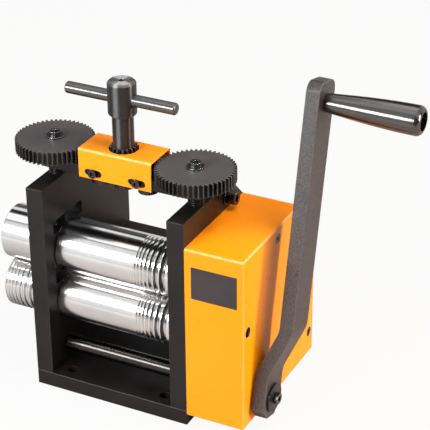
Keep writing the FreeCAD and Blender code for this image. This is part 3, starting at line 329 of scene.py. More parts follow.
@dataclass(frozen=True)
class Turned(Finish):
    """A finish whose fine lines run round an axis, as a lathe or grinder leaves them."""

    axis: str = "X"
    centre: tuple[float, float, float] = (0.0, 0.0, 0.0)
    waves: float = 3200.0
    # How much brighter the faces toward +axis are: a painted highlight.
    face: float = 1.0

    def place(self, shader: Shader) -> bpy.types.NodeSocket:
        """Coordinates of length and radius, nearly the same all the way round.

        Args:
            shader: The material being built.

        Returns:
            The coordinates' socket.
        """
        shift = tuple(-value * MM for value in self.centre)
        mapping = shader.add("ShaderNodeMapping", Vector=shader.spot(), Location=shift)
        split = shader.add("ShaderNodeSeparateXYZ", Vector=mapping.outputs[0])
        across = [name for name in "XYZ" if name != self.axis]
        squares = [shader.math("MULTIPLY", split.outputs[name], split.outputs[name]) for name in across]
        radius = shader.math("SQRT", shader.math("ADD", *squares))
        angle = shader.math("ARCTAN2", split.outputs[across[0]], split.outputs[across[1]])
        slow = shader.math("MULTIPLY", shader.math("SINE", angle), 0.0012)
        joined = shader.add("ShaderNodeCombineXYZ", X=split.outputs[self.axis], Y=radius, Z=slow)
        return joined.outputs[0]

    def height(self, shader: Shader, where: bpy.types.NodeSocket) -> bpy.types.NodeSocket:
        """Fine lines with broader bands under them.

        Args:
            shader: The material being built.
            where: The lines' coordinates.

        Returns:
            The height's socket.
        """
        fine = shader.noise(where, self.waves, 2.0, 0.5)
        broad = shader.noise(where, self.waves * 0.12, 3.0, 0.5)
        return shader.math("ADD", shader.math("MULTIPLY", fine, 0.6), shader.math("MULTIPLY", broad, 0.4))

    def tone(self, shader: Shader, colour: bpy.types.NodeSocket) -> bpy.types.NodeSocket:
        """Brighten the faces that point along +axis, such as the tee handle's top: a painted highlight.

        Args:
            shader: The material being built.
            colour: The colour of the round surface.

        Returns:
            The colour's socket.
        """
        if self.face == 1.0:
            return colour
        facing = shader.facing()
        share = shader.spread(facing[self.axis], 0.6, 0.95, 0.0, 1.0)
        return shader.blend(share, colour, rgba(tuple(min(0.9, value * self.face) for value in self.base)))

    def brush(self, shader: Shader) -> None:
        """Stretch the highlights along the axis, across the lines.

        Args:
            shader: The material being built.
        """
        round_axis = shader.add("ShaderNodeTangent", {"direction_type": "RADIAL", "axis": self.axis})
        shader.feed(shader.surface.inputs["Tangent"], round_axis.outputs[0])
        shader.surface.inputs["Anisotropic Rotation"].default_value = 0.25


@dataclass(frozen=True)
class Faced(Finish):
    """A finish for gears: flat faces as they are, flanks and gaps darkened as painted shade."""

    # Share of the base colour left on flanks and gaps: painted shade.
    painted_flank_shade: float = 0.08
    tooth_wear: float = 0.05

    def flatness(self, shader: Shader) -> bpy.types.NodeSocket:
        """How squarely a spot faces along a gear's axis."""
        facing = shader.facing()
        return shader.math("MAXIMUM", *[shader.math("ABSOLUTE", facing[name]) for name in "XZ"])

    def tone(self, shader: Shader, colour: bpy.types.NodeSocket) -> bpy.types.NodeSocket:
        """Darken, as painted shade, what doesn't face along the gear's axis.

        Args:
            shader: The material being built.
            colour: The colour of the flat faces.

        Returns:
            The colour's socket.
        """
        share = shader.spread(self.flatness(shader), 0.93, 0.98, 0.0, 1.0)
        dark = rgba(tuple(value * self.painted_flank_shade for value in self.base))
        return shader.blend(share, dark, colour)

    def wearing(self, shader: Shader, worn_and_lit: bpy.types.NodeSocket) -> bpy.types.NodeSocket:
        """Keep the wear to the rims and take most of it off the teeth."""
        rims = shader.spread(self.flatness(shader), 0.3, 0.6, self.tooth_wear, 1.0)
        return shader.math("MULTIPLY", worn_and_lit, rims)


@dataclass(frozen=True)
class Powder(Finish):
    """A baked powder coat with a fine pebbled skin."""

    pebble: float = 1500.0

    def height(self, shader: Shader, where: bpy.types.NodeSocket) -> bpy.types.NodeSocket:
        """Rounded pebbles over a soft waviness.

        Args:
            shader: The material being built.
            where: The pebbles' coordinates.

        Returns:
            The height's socket.
        """
        cells = shader.add("ShaderNodeTexVoronoi", {"feature": "SMOOTH_F1"}, Vector=where,
                           Scale=self.pebble, Smoothness=0.6).outputs["Distance"]
        waves = shader.noise(where, self.pebble * 0.25, 3.0)
        return shader.math("ADD", shader.math("MULTIPLY", cells, 0.7), shader.math("MULTIPLY", waves, 0.5))


SATIN_BLACK = Finish("Satin black plate", "black_plate", base=(0.0062, 0.0058, 0.0058),
                     cloud=(0.0105, 0.0092, 0.0092), edge=(0.12, 0.115, 0.11), rough=(0.32, 0.44),
                     grain=700.0, relief=0.1, specular=0.29)
# Its pale edge colour on the edges is wear and also a painted highlight line.
ORANGE = Finish("Orange enamel", "orange_sheet", base=(0.98, 0.335, 0.004), cloud=(1.0, 0.352, 0.006),
                edge=(1.0, 0.8, 0.56), rough=(0.26, 0.38), grain=420.0, relief=0.1, relief_depth=0.0003,
                cloud_scale=9.0, wear=0.55, specular=0.2)
ARM_PAINT = Powder("Textured grey paint", "grey_paint", base=(0.0015, 0.001, 0.0011),
                   cloud=(0.066, 0.06, 0.062), edge=(0.16, 0.15, 0.15), rough=(0.3, 0.42), relief=0.8,
                   relief_depth=0.0004, cloud_scale=800.0, wear=0.5, specular=0.6)
GEAR_STEEL = Faced("Blackened gear steel", "gear_steel", base=(0.05, 0.058, 0.064),
                   cloud=(0.067, 0.075, 0.081), edge=(0.4, 0.4, 0.4), rough=(0.3, 0.42), grain=1100.0,
                   relief=0.2, cloud_scale=30.0, wear=0.3, specular=0.3)
# Its bright edge colour, mixed strongly into the head rims, is wear and also a painted glint.
BLACK_SCREW = Finish("Black oxide screw", "black_screw", base=(0.12, 0.118, 0.12), cloud=(0.19, 0.187, 0.19),
                     edge=(0.85, 0.84, 0.84), metallic=1.0, rough=(0.16, 0.28), grain=1500.0, relief=0.12,
                     relief_depth=0.0001, cloud_scale=60.0, wear=0.85, rubbed=(0.6, 1.0))
DARK_SCREW = Finish("Dark oxide screw", "black_screw", base=(0.045, 0.044, 0.045), cloud=(0.07, 0.068, 0.07),
                    edge=(0.75, 0.75, 0.75), metallic=1.0, rough=(0.16, 0.26), grain=1500.0, relief=0.1,
                    relief_depth=0.0001, cloud_scale=60.0, wear=0.55)
DARK_PLATE = Finish("Bare dark plate", "dark_plate", base=(0.022, 0.017, 0.019), cloud=(0.032, 0.026, 0.028),
                    edge=(0.1, 0.09, 0.09), rough=(0.4, 0.5), grain=1800.0, relief=0.12,
                    relief_depth=0.0001, cloud_scale=40.0, wear=0.4)
BLOCK_STEEL = Finish("Blackened block steel", "blackened_steel", base=(0.02, 0.019, 0.02),
                     cloud=(0.032, 0.03, 0.031), edge=(0.3, 0.29, 0.28), metallic=0.8, rough=(0.28, 0.4),
                     relief=0.15, cloud_scale=30.0, wear=0.5)
BUSH = Finish("Bearing bronze", "bush_bronze", base=(0.42, 0.27, 0.12), cloud=(0.33, 0.2, 0.09),
              edge=(0.7, 0.5, 0.28), metallic=1.0, rough=(0.3, 0.45), grain=1200.0, relief=0.2,
              cloud_scale=40.0, wear=0.5)
SPRING_STEEL = Finish("Spring steel", "spring_steel", base=(0.45, 0.45, 0.46), cloud=(0.33, 0.33, 0.34),
                      edge=(0.6, 0.6, 0.6), metallic=1.0, rough=(0.25, 0.4), grain=2500.0, relief=0.15,
                      relief_depth=0.0001, cloud_scale=80.0, wear=0.4)


def turned_steel(name: str, slot: str, tone: float, centre: Sequence[float], axis: str,
                 rough: tuple[float, float], relief: float = 0.12, metallic: float = 1.0,
                 warm: float = 0.0, stretch: float = 0.85, face: float = 1.0) -> Turned:
    """A steel whose fine lines run round one axis.

    Args:
        name: The material's name.
        slot: The record's material slot.
        tone: How bright the steel is.
        centre: A point on the axis, in millimetres.
        axis: The axis, X, Y or Z.
        rough: Lowest and highest roughness.
        relief: Strength of the lines.
        metallic: One for bare steel, less for a blackened one.
        warm: How much redder than grey it is.
        stretch: How far the highlights reach along the axis.
        face: How much brighter the faces that point along +axis are, a painted highlight.

    Returns:
        The finish.
    """
    base = (tone * (1 + warm), tone, tone * (1 - 0.4 * warm))
    return Turned(name, slot, base=base, cloud=tuple(0.88 * value for value in base),
                  edge=tuple(min(1.0, 1.6 * value + 0.05) for value in base), metallic=metallic,
                  rough=rough, relief=relief, relief_depth=0.0001, cloud_scale=22.0, wear=0.35,
                  anisotropic=stretch, axis=axis, centre=tuple(centre), face=face)


# ------------------------------------------------------------------- mesh tools

FLAT_WITHIN = 0.6
# Bends of a folded sheet get a painted highlight, stronger where they face up.
BEND_TILT = 0.97
BEND_AREA = 300 * MM * MM
BEND_HIGHLIGHT = (0.25, 0.75)


def body_of(node: str) -> str:
    """The body that carries a node."""
    bodies = frame["record"]["behaviour"]["bodies"]
    return next(body for body, members in bodies.items() if node in members)


def new_object(name: str, data: bpy.types.ID) -> bpy.types.Object:
    """Put a mesh, a lamp or a camera in the scene, at the origin.

    Args:
        name: The object's name.
        data: What it shows.

    Returns:
        The object.
    """
    piece = bpy.data.objects.new(name, data)
    bpy.context.scene.collection.objects.link(piece)
    return piece


def settle(piece: bpy.types.Object) -> bpy.types.Object:
    """Turn a piece's modifiers into plain mesh.

    Args:
        piece: The object.

    Returns:
        The same object, with no modifiers.
    """
    graph = bpy.context.evaluated_depsgraph_get()
    mesh = bpy.data.meshes.new_from_object(piece.evaluated_get(graph), preserve_all_data_layers=True,
                                           depsgraph=graph)
    piece.modifiers.clear()
    old = piece.data
    piece.data = mesh
    bpy.data.meshes.remove(old)
    mesh.name = piece.name
    return piece


def paint(layer: bpy.types.Attribute, face: bpy.types.MeshPolygon, amount: float) -> None:
    """Set how worn the corners of a face are."""
    for corner in face.loop_indices:
        layer.data[corner].color = (amount, amount, amount, 1.0)


def ease_edges(piece: bpy.types.Object, width: float, segments: int = 2, angle: float = 32.0,
               flat: bool = False) -> bpy.types.Object:
    """Round a piece's sharp edges and mark them for wear, which some finishes also use for a painted
    highlight.

    Args:
        piece: The object.
        width: Width of the rounding, in millimetres.
        segments: Faces across the rounding.
        angle: Edges sharper than this are rounded, in degrees.
        flat: Whether the faces between the edges are shaded flat.

    Returns:
        The same object, with its rounding as plain mesh.
    """
    mesh = piece.data
    mesh.materials.clear()
    for _ in range(2):
        mesh.materials.append(None)
    bevel = piece.modifiers.new("ease", "BEVEL")
    bevel.limit_method = "ANGLE"
    bevel.angle_limit = math.radians(angle)
    bevel.width = width * MM
    bevel.segments = segments
    bevel.use_clamp_overlap = True
    bevel.material = 1
    bevel.miter_outer = "MITER_SHARP"
    for polygon in mesh.polygons:
        polygon.use_smooth = True
    if not flat:
        weights = piece.modifiers.new("weights", "WEIGHTED_NORMAL")
        weights.weight = 60
    settle(piece)
    mesh = piece.data
    wear = mesh.color_attributes.new("edge_wear", "FLOAT_COLOR", "CORNER")
    for polygon in mesh.polygons:
        rim = polygon.material_index == 1
        paint(wear, polygon, float(rim))
        polygon.use_smooth = rim or not flat
        polygon.material_index = 0
    mesh.materials.clear()
    return piece


def finish_piece(piece: bpy.types.Object, finish: Finish, body: str, *nodes: str) -> bpy.types.Object:
    """Give a piece its material, its body and the nodes that it stands for.

    Args:
        piece: The object.
        finish: Its finish.
        body: The body that it moves with.
        nodes: The nodes that it replaces.

    Returns:
        The same object.
    """
    piece.data.materials.clear()
    piece.data.materials.append(finish.make())
    if nodes:
        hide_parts(*nodes)
    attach(piece, body)
    log.info("%s rides on %s, %d faces", piece.name, body, len(piece.data.polygons))
    return piece


def dress_node(node: str, finish: Finish) -> None:
    """Give a node that keeps its own mesh a finish.

    Args:
        node: The node's name.
        finish: Its finish.
    """
    thing = frame["nodes"][node]
    thing.data.materials.clear()
    thing.data.materials.append(finish.make())
    log.info("%s keeps its solid", node)


def paint_bend_highlights(piece: bpy.types.Object) -> None:
    """Paint a lighter line on a folded sheet's bends, stronger where a bend faces up: a painted highlight
    kept in the edges' wear layer.

    Args:
        piece: The object.
    """
    wear = piece.data.color_attributes["edge_wear"]
    for polygon in piece.data.polygons:
        slanted = max(abs(value) for value in polygon.normal) < BEND_TILT
        if slanted and polygon.area < BEND_AREA:
            paint(wear, polygon, BEND_HIGHLIGHT[0] + BEND_HIGHLIGHT[1] * max(0.0, polygon.normal.z))


def softened(node: str, finish: Finish, width: float, segments: int = 2,
             flat: bool = False) -> bpy.types.Object:
    """A copy of a node with rounded edges, which replaces it.

    Args:
        node: The node's name.
        finish: Its finish.
        width: Width of the rounding, in millimetres.
        segments: Faces across the rounding.
        flat: Whether the faces between the edges are shaded flat.

    Returns:
        The new piece.
    """
    mesh = frame["nodes"][node].data.copy()
    form = bmesh.new()
    form.from_mesh(mesh)
    bmesh.ops.remove_doubles(form, verts=form.verts, dist=WELD)
    if not flat:
        bmesh.ops.dissolve_limit(form, angle_limit=math.radians(FLAT_WITHIN), verts=form.verts,
                                 edges=form.edges)
    form.to_mesh(mesh)
    form.free()
    for layer in [layer.name for layer in mesh.color_attributes]:
        mesh.color_attributes.remove(mesh.color_attributes[layer])
    piece = new_object(node + "_body", mesh)
    ease_edges(piece, width, segments, flat=flat)
    # The orange sheet's bends get a painted highlight.
    if finish is ORANGE:
        paint_bend_highlights(piece)
    return finish_piece(piece, finish, body_of(node), node)


def lathe(name: str, profile: Profile, axis: Axis, start: Sequence[float], sides: int = 128,
          ring: bool = False) -> bpy.types.Object:
    """Turn a profile about an axis.

    Args:
        name: The new object's name.
        profile: Distance along the axis and radius, in millimetres.
        axis: Which way the profile runs.
        start: Where its zero is, in millimetres.
        sides: Faces round the axis.
        ring: Whether the profile closes on itself round a bore.

    Returns:
        The object.
    """
    place = Matrix.Translation(Vector(start) * MM) @ axis.matrix()
    form = bmesh.new()
    rows: list[list[bmesh.types.BMVert]] = []
    for along, radius in profile:
        if radius < 1e-6:
            rows.append([form.verts.new(place @ Vector((0, 0, along * MM)))])
            continue
        row = []
        for step in range(sides):
            angle = 2 * math.pi * step / sides
            point = Vector((radius * math.cos(angle), radius * math.sin(angle), along)) * MM
            row.append(form.verts.new(place @ point))
        rows.append(row)
    pairs = list(zip(rows, rows[1:]))
    if ring:
        pairs.append((rows[-1], rows[0]))
    for first, second in pairs:
        for step in range(sides):
            following = (step + 1) % sides
            corners = [first[step % len(first)], first[following % len(first)],
                       second[following % len(second)], second[step % len(second)]]
            corners = list(dict.fromkeys(corners))
            if len(corners) > 2:
                form.faces.new(corners)
    bmesh.ops.recalc_face_normals(form, faces=form.faces)
    mesh = bpy.data.meshes.new(name)
    form.to_mesh(mesh)
    form.free()
    return new_object(name, mesh)


def turned_piece(name: str, profile: Profile, axis: Axis, start: Sequence[float], finish: Finish,
                 nodes: Sequence[str], ease: float = 0.4, sides: int = 128,
                 ring: bool = False) -> bpy.types.Object:
    """Turn a profile, round its corners and finish it.

    Args:
        name: The new piece's name.
        profile: Distance along the axis and radius, in millimetres.
        axis: Which way the profile runs.
        start: Where its zero is, in millimetres.
        finish: Its finish.
        nodes: The nodes that it replaces, the first of which names its body.
        ease: Width of the corners' rounding, in millimetres.
        sides: Faces round the axis.
        ring: Whether the profile closes on itself round a bore.

    Returns:
        The piece.
    """
    piece = lathe(name, profile, axis, start, sides, ring)
    ease_edges(piece, ease, angle=20.0)
    return finish_piece(piece, finish, body_of(nodes[0]), *nodes)


# ------------------------------------------------------------------- geometry nodes


class Recipe(Tree):
    """A Geometry Nodes tree that makes one kind of repeated piece."""

    def __init__(self, name: str, sizes: dict[str, float | int]) -> None:
        """Start a tree with a named input for each size.

        Args:
            name: The tree's name.
            sizes: Input names and their values; a whole number makes a whole input.
        """
        self.tree = bpy.data.node_groups.new(name, "GeometryNodeTree")
        super().__init__(self.tree)
        self.sizes = sizes
        kinds = {"Geometry": "NodeSocketGeometry"}
        for size, value in sizes.items():
            kinds[size] = "NodeSocketInt" if isinstance(value, int) else "NodeSocketFloat"
        kinds.update(Turn="NodeSocketVector", Material="NodeSocketMaterial")
        for label, kind in kinds.items():
            self.tree.interface.new_socket(label, in_out="INPUT", socket_type=kind)
        self.tree.interface.new_socket("Geometry", in_out="OUTPUT", socket_type="NodeSocketGeometry")
        self.source = self.add("NodeGroupInput")
        self.result = self.add("NodeGroupOutput")

    def size(self, name: str) -> bpy.types.NodeSocket:
        """The socket of a named input."""
        return self.source.outputs[name]

    def circle(self, radius: str, sides: object) -> bpy.types.NodeSocket:
        """A circle, or a polygon if it has few sides.

        Args:
            radius: Name of its radius.
            sides: How many sides it has, as a number or a socket.

        Returns:
            The curve's socket.
        """
        node = self.add("GeometryNodeCurvePrimitiveCircle", {"mode": "RADIUS"}, Resolution=sides,
                        Radius=self.size(radius))
        return node.outputs[0]

    def cylinder(self, radius: str, length: str, sides: int, rows: object = 1) -> bpy.types.NodeSocket:
        """An upright cylinder about the origin.

        Args:
            radius: Name of its radius.
            length: Name of its length.
            sides: Faces round it.
            rows: Faces along it, as a number or a socket.

        Returns:
            The mesh's socket.
        """
        node = self.add("GeometryNodeMeshCylinder", {"fill_type": "NGON"}, Vertices=sides,
                        Side_Segments=rows, Radius=self.size(radius), Depth=self.size(length))
        return node.outputs[0]

    def raised(self, geometry: bpy.types.NodeSocket, height: str, share: float = 1.0) -> bpy.types.NodeSocket:
        """Lift a geometry.

        Args:
            geometry: Its socket.
            height: Name of the size that it is lifted by.
            share: How much of that size.

        Returns:
            The lifted geometry's socket.
        """
        rise = self.add("ShaderNodeCombineXYZ", Z=self.math("MULTIPLY", self.size(height), share))
        lifted = self.add("GeometryNodeTransform", Geometry=geometry, Translation=rise.outputs[0])
        return lifted.outputs[0]

    def join(self, *parts: bpy.types.NodeSocket) -> bpy.types.NodeSocket:
        """Put several geometries together.

        Args:
            parts: Their sockets.

        Returns:
            The joined geometry's socket.
        """
        node = self.add("GeometryNodeJoinGeometry")
        for part in reversed(parts):
            self.feed(node.inputs[0], part)
        return node.outputs[0]

    def repeat(self, instance: bpy.types.NodeSocket) -> None:
        """Set a piece on each point of the input, then realise and dress it.

        Args:
            instance: The piece's geometry.
        """
        points = self.add("GeometryNodeMeshToPoints", Mesh=self.size("Geometry"))
        spread = self.add("GeometryNodeInstanceOnPoints", Points=points.outputs[0], Instance=instance,
                          Rotation=self.size("Turn"))
        real = self.add("GeometryNodeRealizeInstances", Geometry=spread.outputs[0])
        dressed = self.add("GeometryNodeSetMaterial", Geometry=real.outputs[0],
                           Material=self.size("Material"))
        self.feed(self.result.inputs[0], dressed.outputs[0])

    def run(self, name: str, points: Iterable[Sequence[float]], finish: Finish,
            turn: Axis = Axis.UP) -> bpy.types.Object:
        """Run the tree on a set of places and keep the plain mesh.

        Args:
            name: The new object's name.
            points: The places, in millimetres.
            finish: The finish that its faces get.
            turn: Which way the pieces point.

        Returns:
            The object.
        """
        mesh = bpy.data.meshes.new(name)
        mesh.from_pydata([Vector(point) * MM for point in points], [], [])
        piece = new_object(name, mesh)
        modifier = piece.modifiers.new("recipe", "NODES")
        modifier.node_group = self.tree
        values: dict[str, object] = dict(self.sizes)
        values["Turn"] = tuple(turn.matrix().to_euler())
        values["Material"] = finish.make()
        for item in self.tree.interface.items_tree:
            if item.in_out == "INPUT" and item.name in values:
                modifier[item.identifier] = values[item.name]
        return settle(piece)


KNURL_STEPS = 4
KNURL_DEPTH = 0.035
SOCKET_FLOOR = 0.42
FLANGE_SIDES = 64


def screw_recipe(name: str, head: float, high: float, socket: float, knurls: int,
                 flange: float = 0.0, flange_high: float = 0.01) -> Recipe:
    """Socket screw heads: a knurled rim, a hexagonal socket and a flange if it has one.

    Args:
        name: The tree's name.
        head: Diameter of the head, in millimetres.
        high: Its height.
        socket: The socket's size over its corners.
        knurls: Ridges round the head.
        flange: Diameter of the flange; without one, a thin disc hides under the head.
        flange_high: Its thickness.

    Returns:
        The tree, ready to run.
    """
    made = Recipe(name, {"Head Radius": head / 2 * MM, "Head Height": high * MM,
                         "Socket Radius": socket / 2 * MM, "Knurls": knurls,
                         "Flange Radius": (flange or head / 2) / 2 * MM, "Flange Height": flange_high * MM})
    rim = made.circle("Head Radius", made.math("MULTIPLY", made.size("Knurls"), KNURL_STEPS))
    index = made.add("GeometryNodeInputIndex").outputs[0]
    ridge = made.math("COMPARE", made.math("MODULO", index, KNURL_STEPS), 0.5, 0.6)
    scale = made.math("SUBTRACT", 1.0, made.math("MULTIPLY", ridge, KNURL_DEPTH))
    spot = made.add("GeometryNodeInputPosition").outputs[0]
    scaled = made.add("ShaderNodeVectorMath", {"operation": "SCALE"}, Vector=spot, Scale=scale)
    knurled = made.add("GeometryNodeSetPosition", Geometry=rim, Position=scaled.outputs[0])
    hexagon = made.circle("Socket Radius", 6)
    plate = made.add("GeometryNodeFillCurve", Curve=made.join(knurled.outputs[0], hexagon))
    rise = made.add("ShaderNodeCombineXYZ", Z=made.size("Head Height"))
    lift = made.add("GeometryNodeExtrudeMesh", Mesh=plate.outputs[0], Offset=rise.outputs[0],
                    Offset_Scale=1.0, Individual=False)
    under = made.add("GeometryNodeFlipFaces", Mesh=plate.outputs[0])
    floor = made.add("GeometryNodeFillCurve", Curve=hexagon)
    sunk = made.raised(floor.outputs[0], "Head Height", SOCKET_FLOOR)
    closed = made.add("GeometryNodeMergeByDistance", Distance=WELD,
                      Geometry=made.join(lift.outputs[0], under.outputs[0], sunk))
    head_top = made.raised(closed.outputs[0], "Flange Height")
    seat = made.cylinder("Flange Radius", "Flange Height", FLANGE_SIDES)
    made.repeat(made.join(head_top, made.raised(seat, "Flange Height", 0.5)))
    return made


def joined(pieces: Sequence[bpy.types.Object]) -> bpy.types.Object:
    """Bring several pieces' meshes into the first one.

    Args:
        pieces: The objects.

    Returns:
        The first object, which keeps its name.
    """
    form = bmesh.new()
    for piece in pieces:
        form.from_mesh(piece.data)
    form.to_mesh(pieces[0].data)
    form.free()
    for piece in pieces[1:]:
        bpy.data.objects.remove(piece)
    return pieces[0]


def place_screws(name: str, recipe: Recipe, places: dict[Axis, Sequence[Sequence[float]]],
                 nodes: Sequence[str], finish: Finish = BLACK_SCREW,
                 ease: float = 0.3) -> bpy.types.Object:
    """Run a screw recipe, break its edges and finish it.

    Args:
        name: The new piece's name.
        recipe: The screws' tree.
        places: Their seats in millimetres, by the way that their heads point.
        nodes: The nodes that they replace, the first of which names their body.
        finish: Their finish.
        ease: Width of their edges' rounding, in millimetres.

    Returns:
        The piece.
    """
    piece = joined([recipe.run(name, spots, finish, turn) for turn, spots in places.items()])
    ease_edges(piece, ease, segments=2 if ease < 0.5 else 4, angle=40.0)
    return finish_piece(piece, finish, body_of(nodes[0]), *nodes)


def thread_recipe(name: str, radius: float, depth: float, pitch: float, length: float) -> Recipe:
    """A vee thread: a cylinder whose radius rises and falls along a helix.

    Args:
        name: The tree's name.
        radius: Outside radius, in millimetres.
        depth: Depth of the thread.
        pitch: Its pitch.
        length: Length of the threaded rod, upward from each point.

    Returns:
        The tree, ready to run.
    """
    rows_a_turn, sides, steepness = 10, 72, 1.25
    made = Recipe(name, {"Radius": radius * MM, "Depth": depth * MM, "Pitch": pitch * MM,
                         "Length": length * MM, "Rows": int(length / pitch * rows_a_turn)})
    bar = made.cylinder("Radius", "Length", sides, made.size("Rows"))
    spot = made.add("GeometryNodeInputPosition").outputs[0]
    split = made.add("ShaderNodeSeparateXYZ", Vector=spot).outputs
    angle = made.math("ARCTAN2", split["Y"], split["X"])
    turns = made.math("SUBTRACT", made.math("DIVIDE", split["Z"], made.size("Pitch")),
                      made.math("DIVIDE", angle, 2 * math.pi))
    there_and_back = made.math("MULTIPLY", made.math("FRACT", turns), 2.0)
    wave = made.math("ABSOLUTE", made.math("SUBTRACT", there_and_back, 1.0))
    flat = made.math("MINIMUM", made.math("MULTIPLY", wave, steepness), 1.0)
    share = made.math("DIVIDE", made.math("MULTIPLY", flat, made.size("Depth")), made.size("Radius"))
    scale = made.math("SUBTRACT", 1.0, share)
    drawn_in = made.add("ShaderNodeCombineXYZ", X=made.math("MULTIPLY", split["X"], scale),
                        Y=made.math("MULTIPLY", split["Y"], scale), Z=split["Z"])
    threaded = made.add("GeometryNodeSetPosition", Geometry=bar, Position=drawn_in.outputs[0])
    made.repeat(made.raised(threaded.outputs[0], "Length", 0.5))
    return made


def spring_recipe(name: str, radius: float, wire: float, turns: float, height: float) -> Recipe:
    """A coil spring that stands on each point.

    Args:
        name: The tree's name.
        radius: Outside radius, in millimetres.
        wire: Diameter of the wire.
        turns: Turns of the coil.
        height: Its height.

    Returns:
        The tree, ready to run.
    """
    steps_a_turn, wire_sides = 32, 10
    made = Recipe(name, {"Coil Radius": (radius - wire / 2) * MM, "Wire Radius": wire / 2 * MM,
                         "Turns": float(turns), "Rise": (height - wire) * MM})
    coil = made.add("GeometryNodeCurveSpiral", Resolution=steps_a_turn, Rotations=made.size("Turns"),
                    Start_Radius=made.size("Coil Radius"), End_Radius=made.size("Coil Radius"),
                    Height=made.size("Rise"))
    section = made.circle("Wire Radius", wire_sides)
    wound = made.add("GeometryNodeCurveToMesh", Curve=coil.outputs[0], Profile_Curve=section,
                     Fill_Caps=True)
    made.repeat(made.raised(wound.outputs[0], "Wire Radius"))
    return made


def smooth(piece: bpy.types.Object, angle: float = 35.0) -> bpy.types.Object:
    """Shade a piece smooth, with its sharp edges kept.

    Args:
        piece: The object.
        angle: Edges sharper than this stay sharp, in degrees.

    Returns:
        The same object.
    """
    for polygon in piece.data.polygons:
        polygon.use_smooth = True
    piece.data.set_sharp_from_angle(angle=math.radians(angle))
    return piece


# ------------------------------------------------------------------- sub-assemblies

# Lines and faces that several sub-assemblies share, in millimetres.
ROLLER_LINE = -33.25
CRANK_LINE = -42.15
CRANK_AXIS = 30.85
SCREW_SIDE = 64.975
IDLER_SIDE = 21.55
PLATE_OUTER = 72.725
BAR_LOW = 201.7
GEAR_TOP = 223.1

SIDES = {"left": -1, "right": 1}
OUTWARD = ((-1, Axis.LEFT), (1, Axis.RIGHT))


class Level(Enum):
    """The two roller lines, by the height of their axes."""

    LOWER = 77.0
    UPPER = 124.7

    @property
    def word(self) -> str:
        """The level's name as the nodes use it."""
        return self.name.lower()


@dataclass
class Frame:
    """Base, side plates, ties and the screws that hold them."""

    plate_ease: float = 0.25
    rod_dia: float = 12.0
    tie_bar_line: float = 63.25
    tie_bar_heights: tuple[float, ...] = (65.0, 85.0)
    tie_rod_line: float = 5.75
    tie_rod_axis: float = 180.5
    base_screw_lines: tuple[float, ...] = (-58.25, 0.0, 58.25)
    base_screw_seat: float = 8.5

    def build(self) -> None:
        """Build every piece of the frame."""
        for node in ("base_plate", "left_side_plate", "right_side_plate", "rear_tie_bar"):
            softened(node, SATIN_BLACK, self.plate_ease)
        self.tie_rod()
        self.screws()

    def tie_rod(self) -> None:
        """The round rod between the plates' tops."""
        low, high = (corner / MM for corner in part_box("upper_tie_rod"))
        centre = (0.0, self.tie_rod_line, self.tie_rod_axis)
        finish = turned_steel("Tie rod steel", "blackened_steel", 0.05, centre, "X", (0.28, 0.4),
                              relief=0.15, metallic=0.6)
        radius = self.rod_dia / 2
        length = high.x - low.x
        turned_piece("tie_rod", [(0, 0), (0, radius), (length, radius), (length, 0)], Axis.RIGHT,
                     (low.x, *centre[1:]), finish, ["upper_tie_rod"], ease=0.3, sides=72)

    def screws(self) -> None:
        """Socket screws under the base, in the tie bar and in the tie rod."""
        plain = screw_recipe("Frame screw heads", head=12.5, high=8.0, socket=7.2, knurls=24)
        small = screw_recipe("Bar screw heads", head=10.0, high=6.0, socket=5.8, knurls=24)
        flanged = screw_recipe("Rod screw heads", head=11.5, high=8.0, socket=6.7, knurls=24,
                               flange=15.0, flange_high=1.8)
        spots = [(side * SCREW_SIDE, line, self.base_screw_seat)
                 for side in (-1, 1) for line in self.base_screw_lines]
        place_screws("base_screw_heads", plain, {Axis.DOWN: spots}, ["base_screws"], DARK_SCREW)
        bar = {turn: [(side * PLATE_OUTER, self.tie_bar_line, height) for height in self.tie_bar_heights]
               for side, turn in OUTWARD}
        place_screws("tie_bar_screw_heads", small, bar, ["tie_bar_screws"], DARK_SCREW)
        rod = {turn: [(side * PLATE_OUTER, self.tie_rod_line, self.tie_rod_axis)] for side, turn in OUTWARD}
        place_screws("tie_rod_screw_heads", flanged, rod, ["tie_rod_screws"], DARK_SCREW)


@dataclass
class Bearings:
    """Bearing blocks, bushes and the springs between the blocks."""

    block_ease: float = 0.4
    spring_radius: float = 2.7
    spring_wire: float = 0.9
    spring_turns: float = 9.0
    spring_low: float = 90.0
    spring_high: float = 111.7
    spring_back: float = 18.4

    def build(self) -> None:
        """Build the blocks, bushes and springs."""
        for level in Level:
            for side in SIDES:
                softened("%s_%s_block" % (level.word, side), BLOCK_STEEL, self.block_ease)
                dress_node("%s_%s_bush" % (level.word, side), BUSH)
        for side in SIDES:
            dress_node(side + "_shaft_bush", BLOCK_STEEL)
        self.springs()

    def springs(self) -> None:
        """Four springs that stand between the blocks."""
        recipe = spring_recipe("Return springs", self.spring_radius, self.spring_wire, self.spring_turns,
                               self.spring_high - self.spring_low)
        spots = [(side * SCREW_SIDE, ROLLER_LINE + back * self.spring_back, self.spring_low)
                 for side in (-1, 1) for back in (-1, 1)]
        springs = smooth(recipe.run("block_springs", spots, SPRING_STEEL))
        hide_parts("return_springs")
        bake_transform(springs)
        log.info("%s stretch between the blocks, %d faces", springs.name, len(springs.data.polygons))


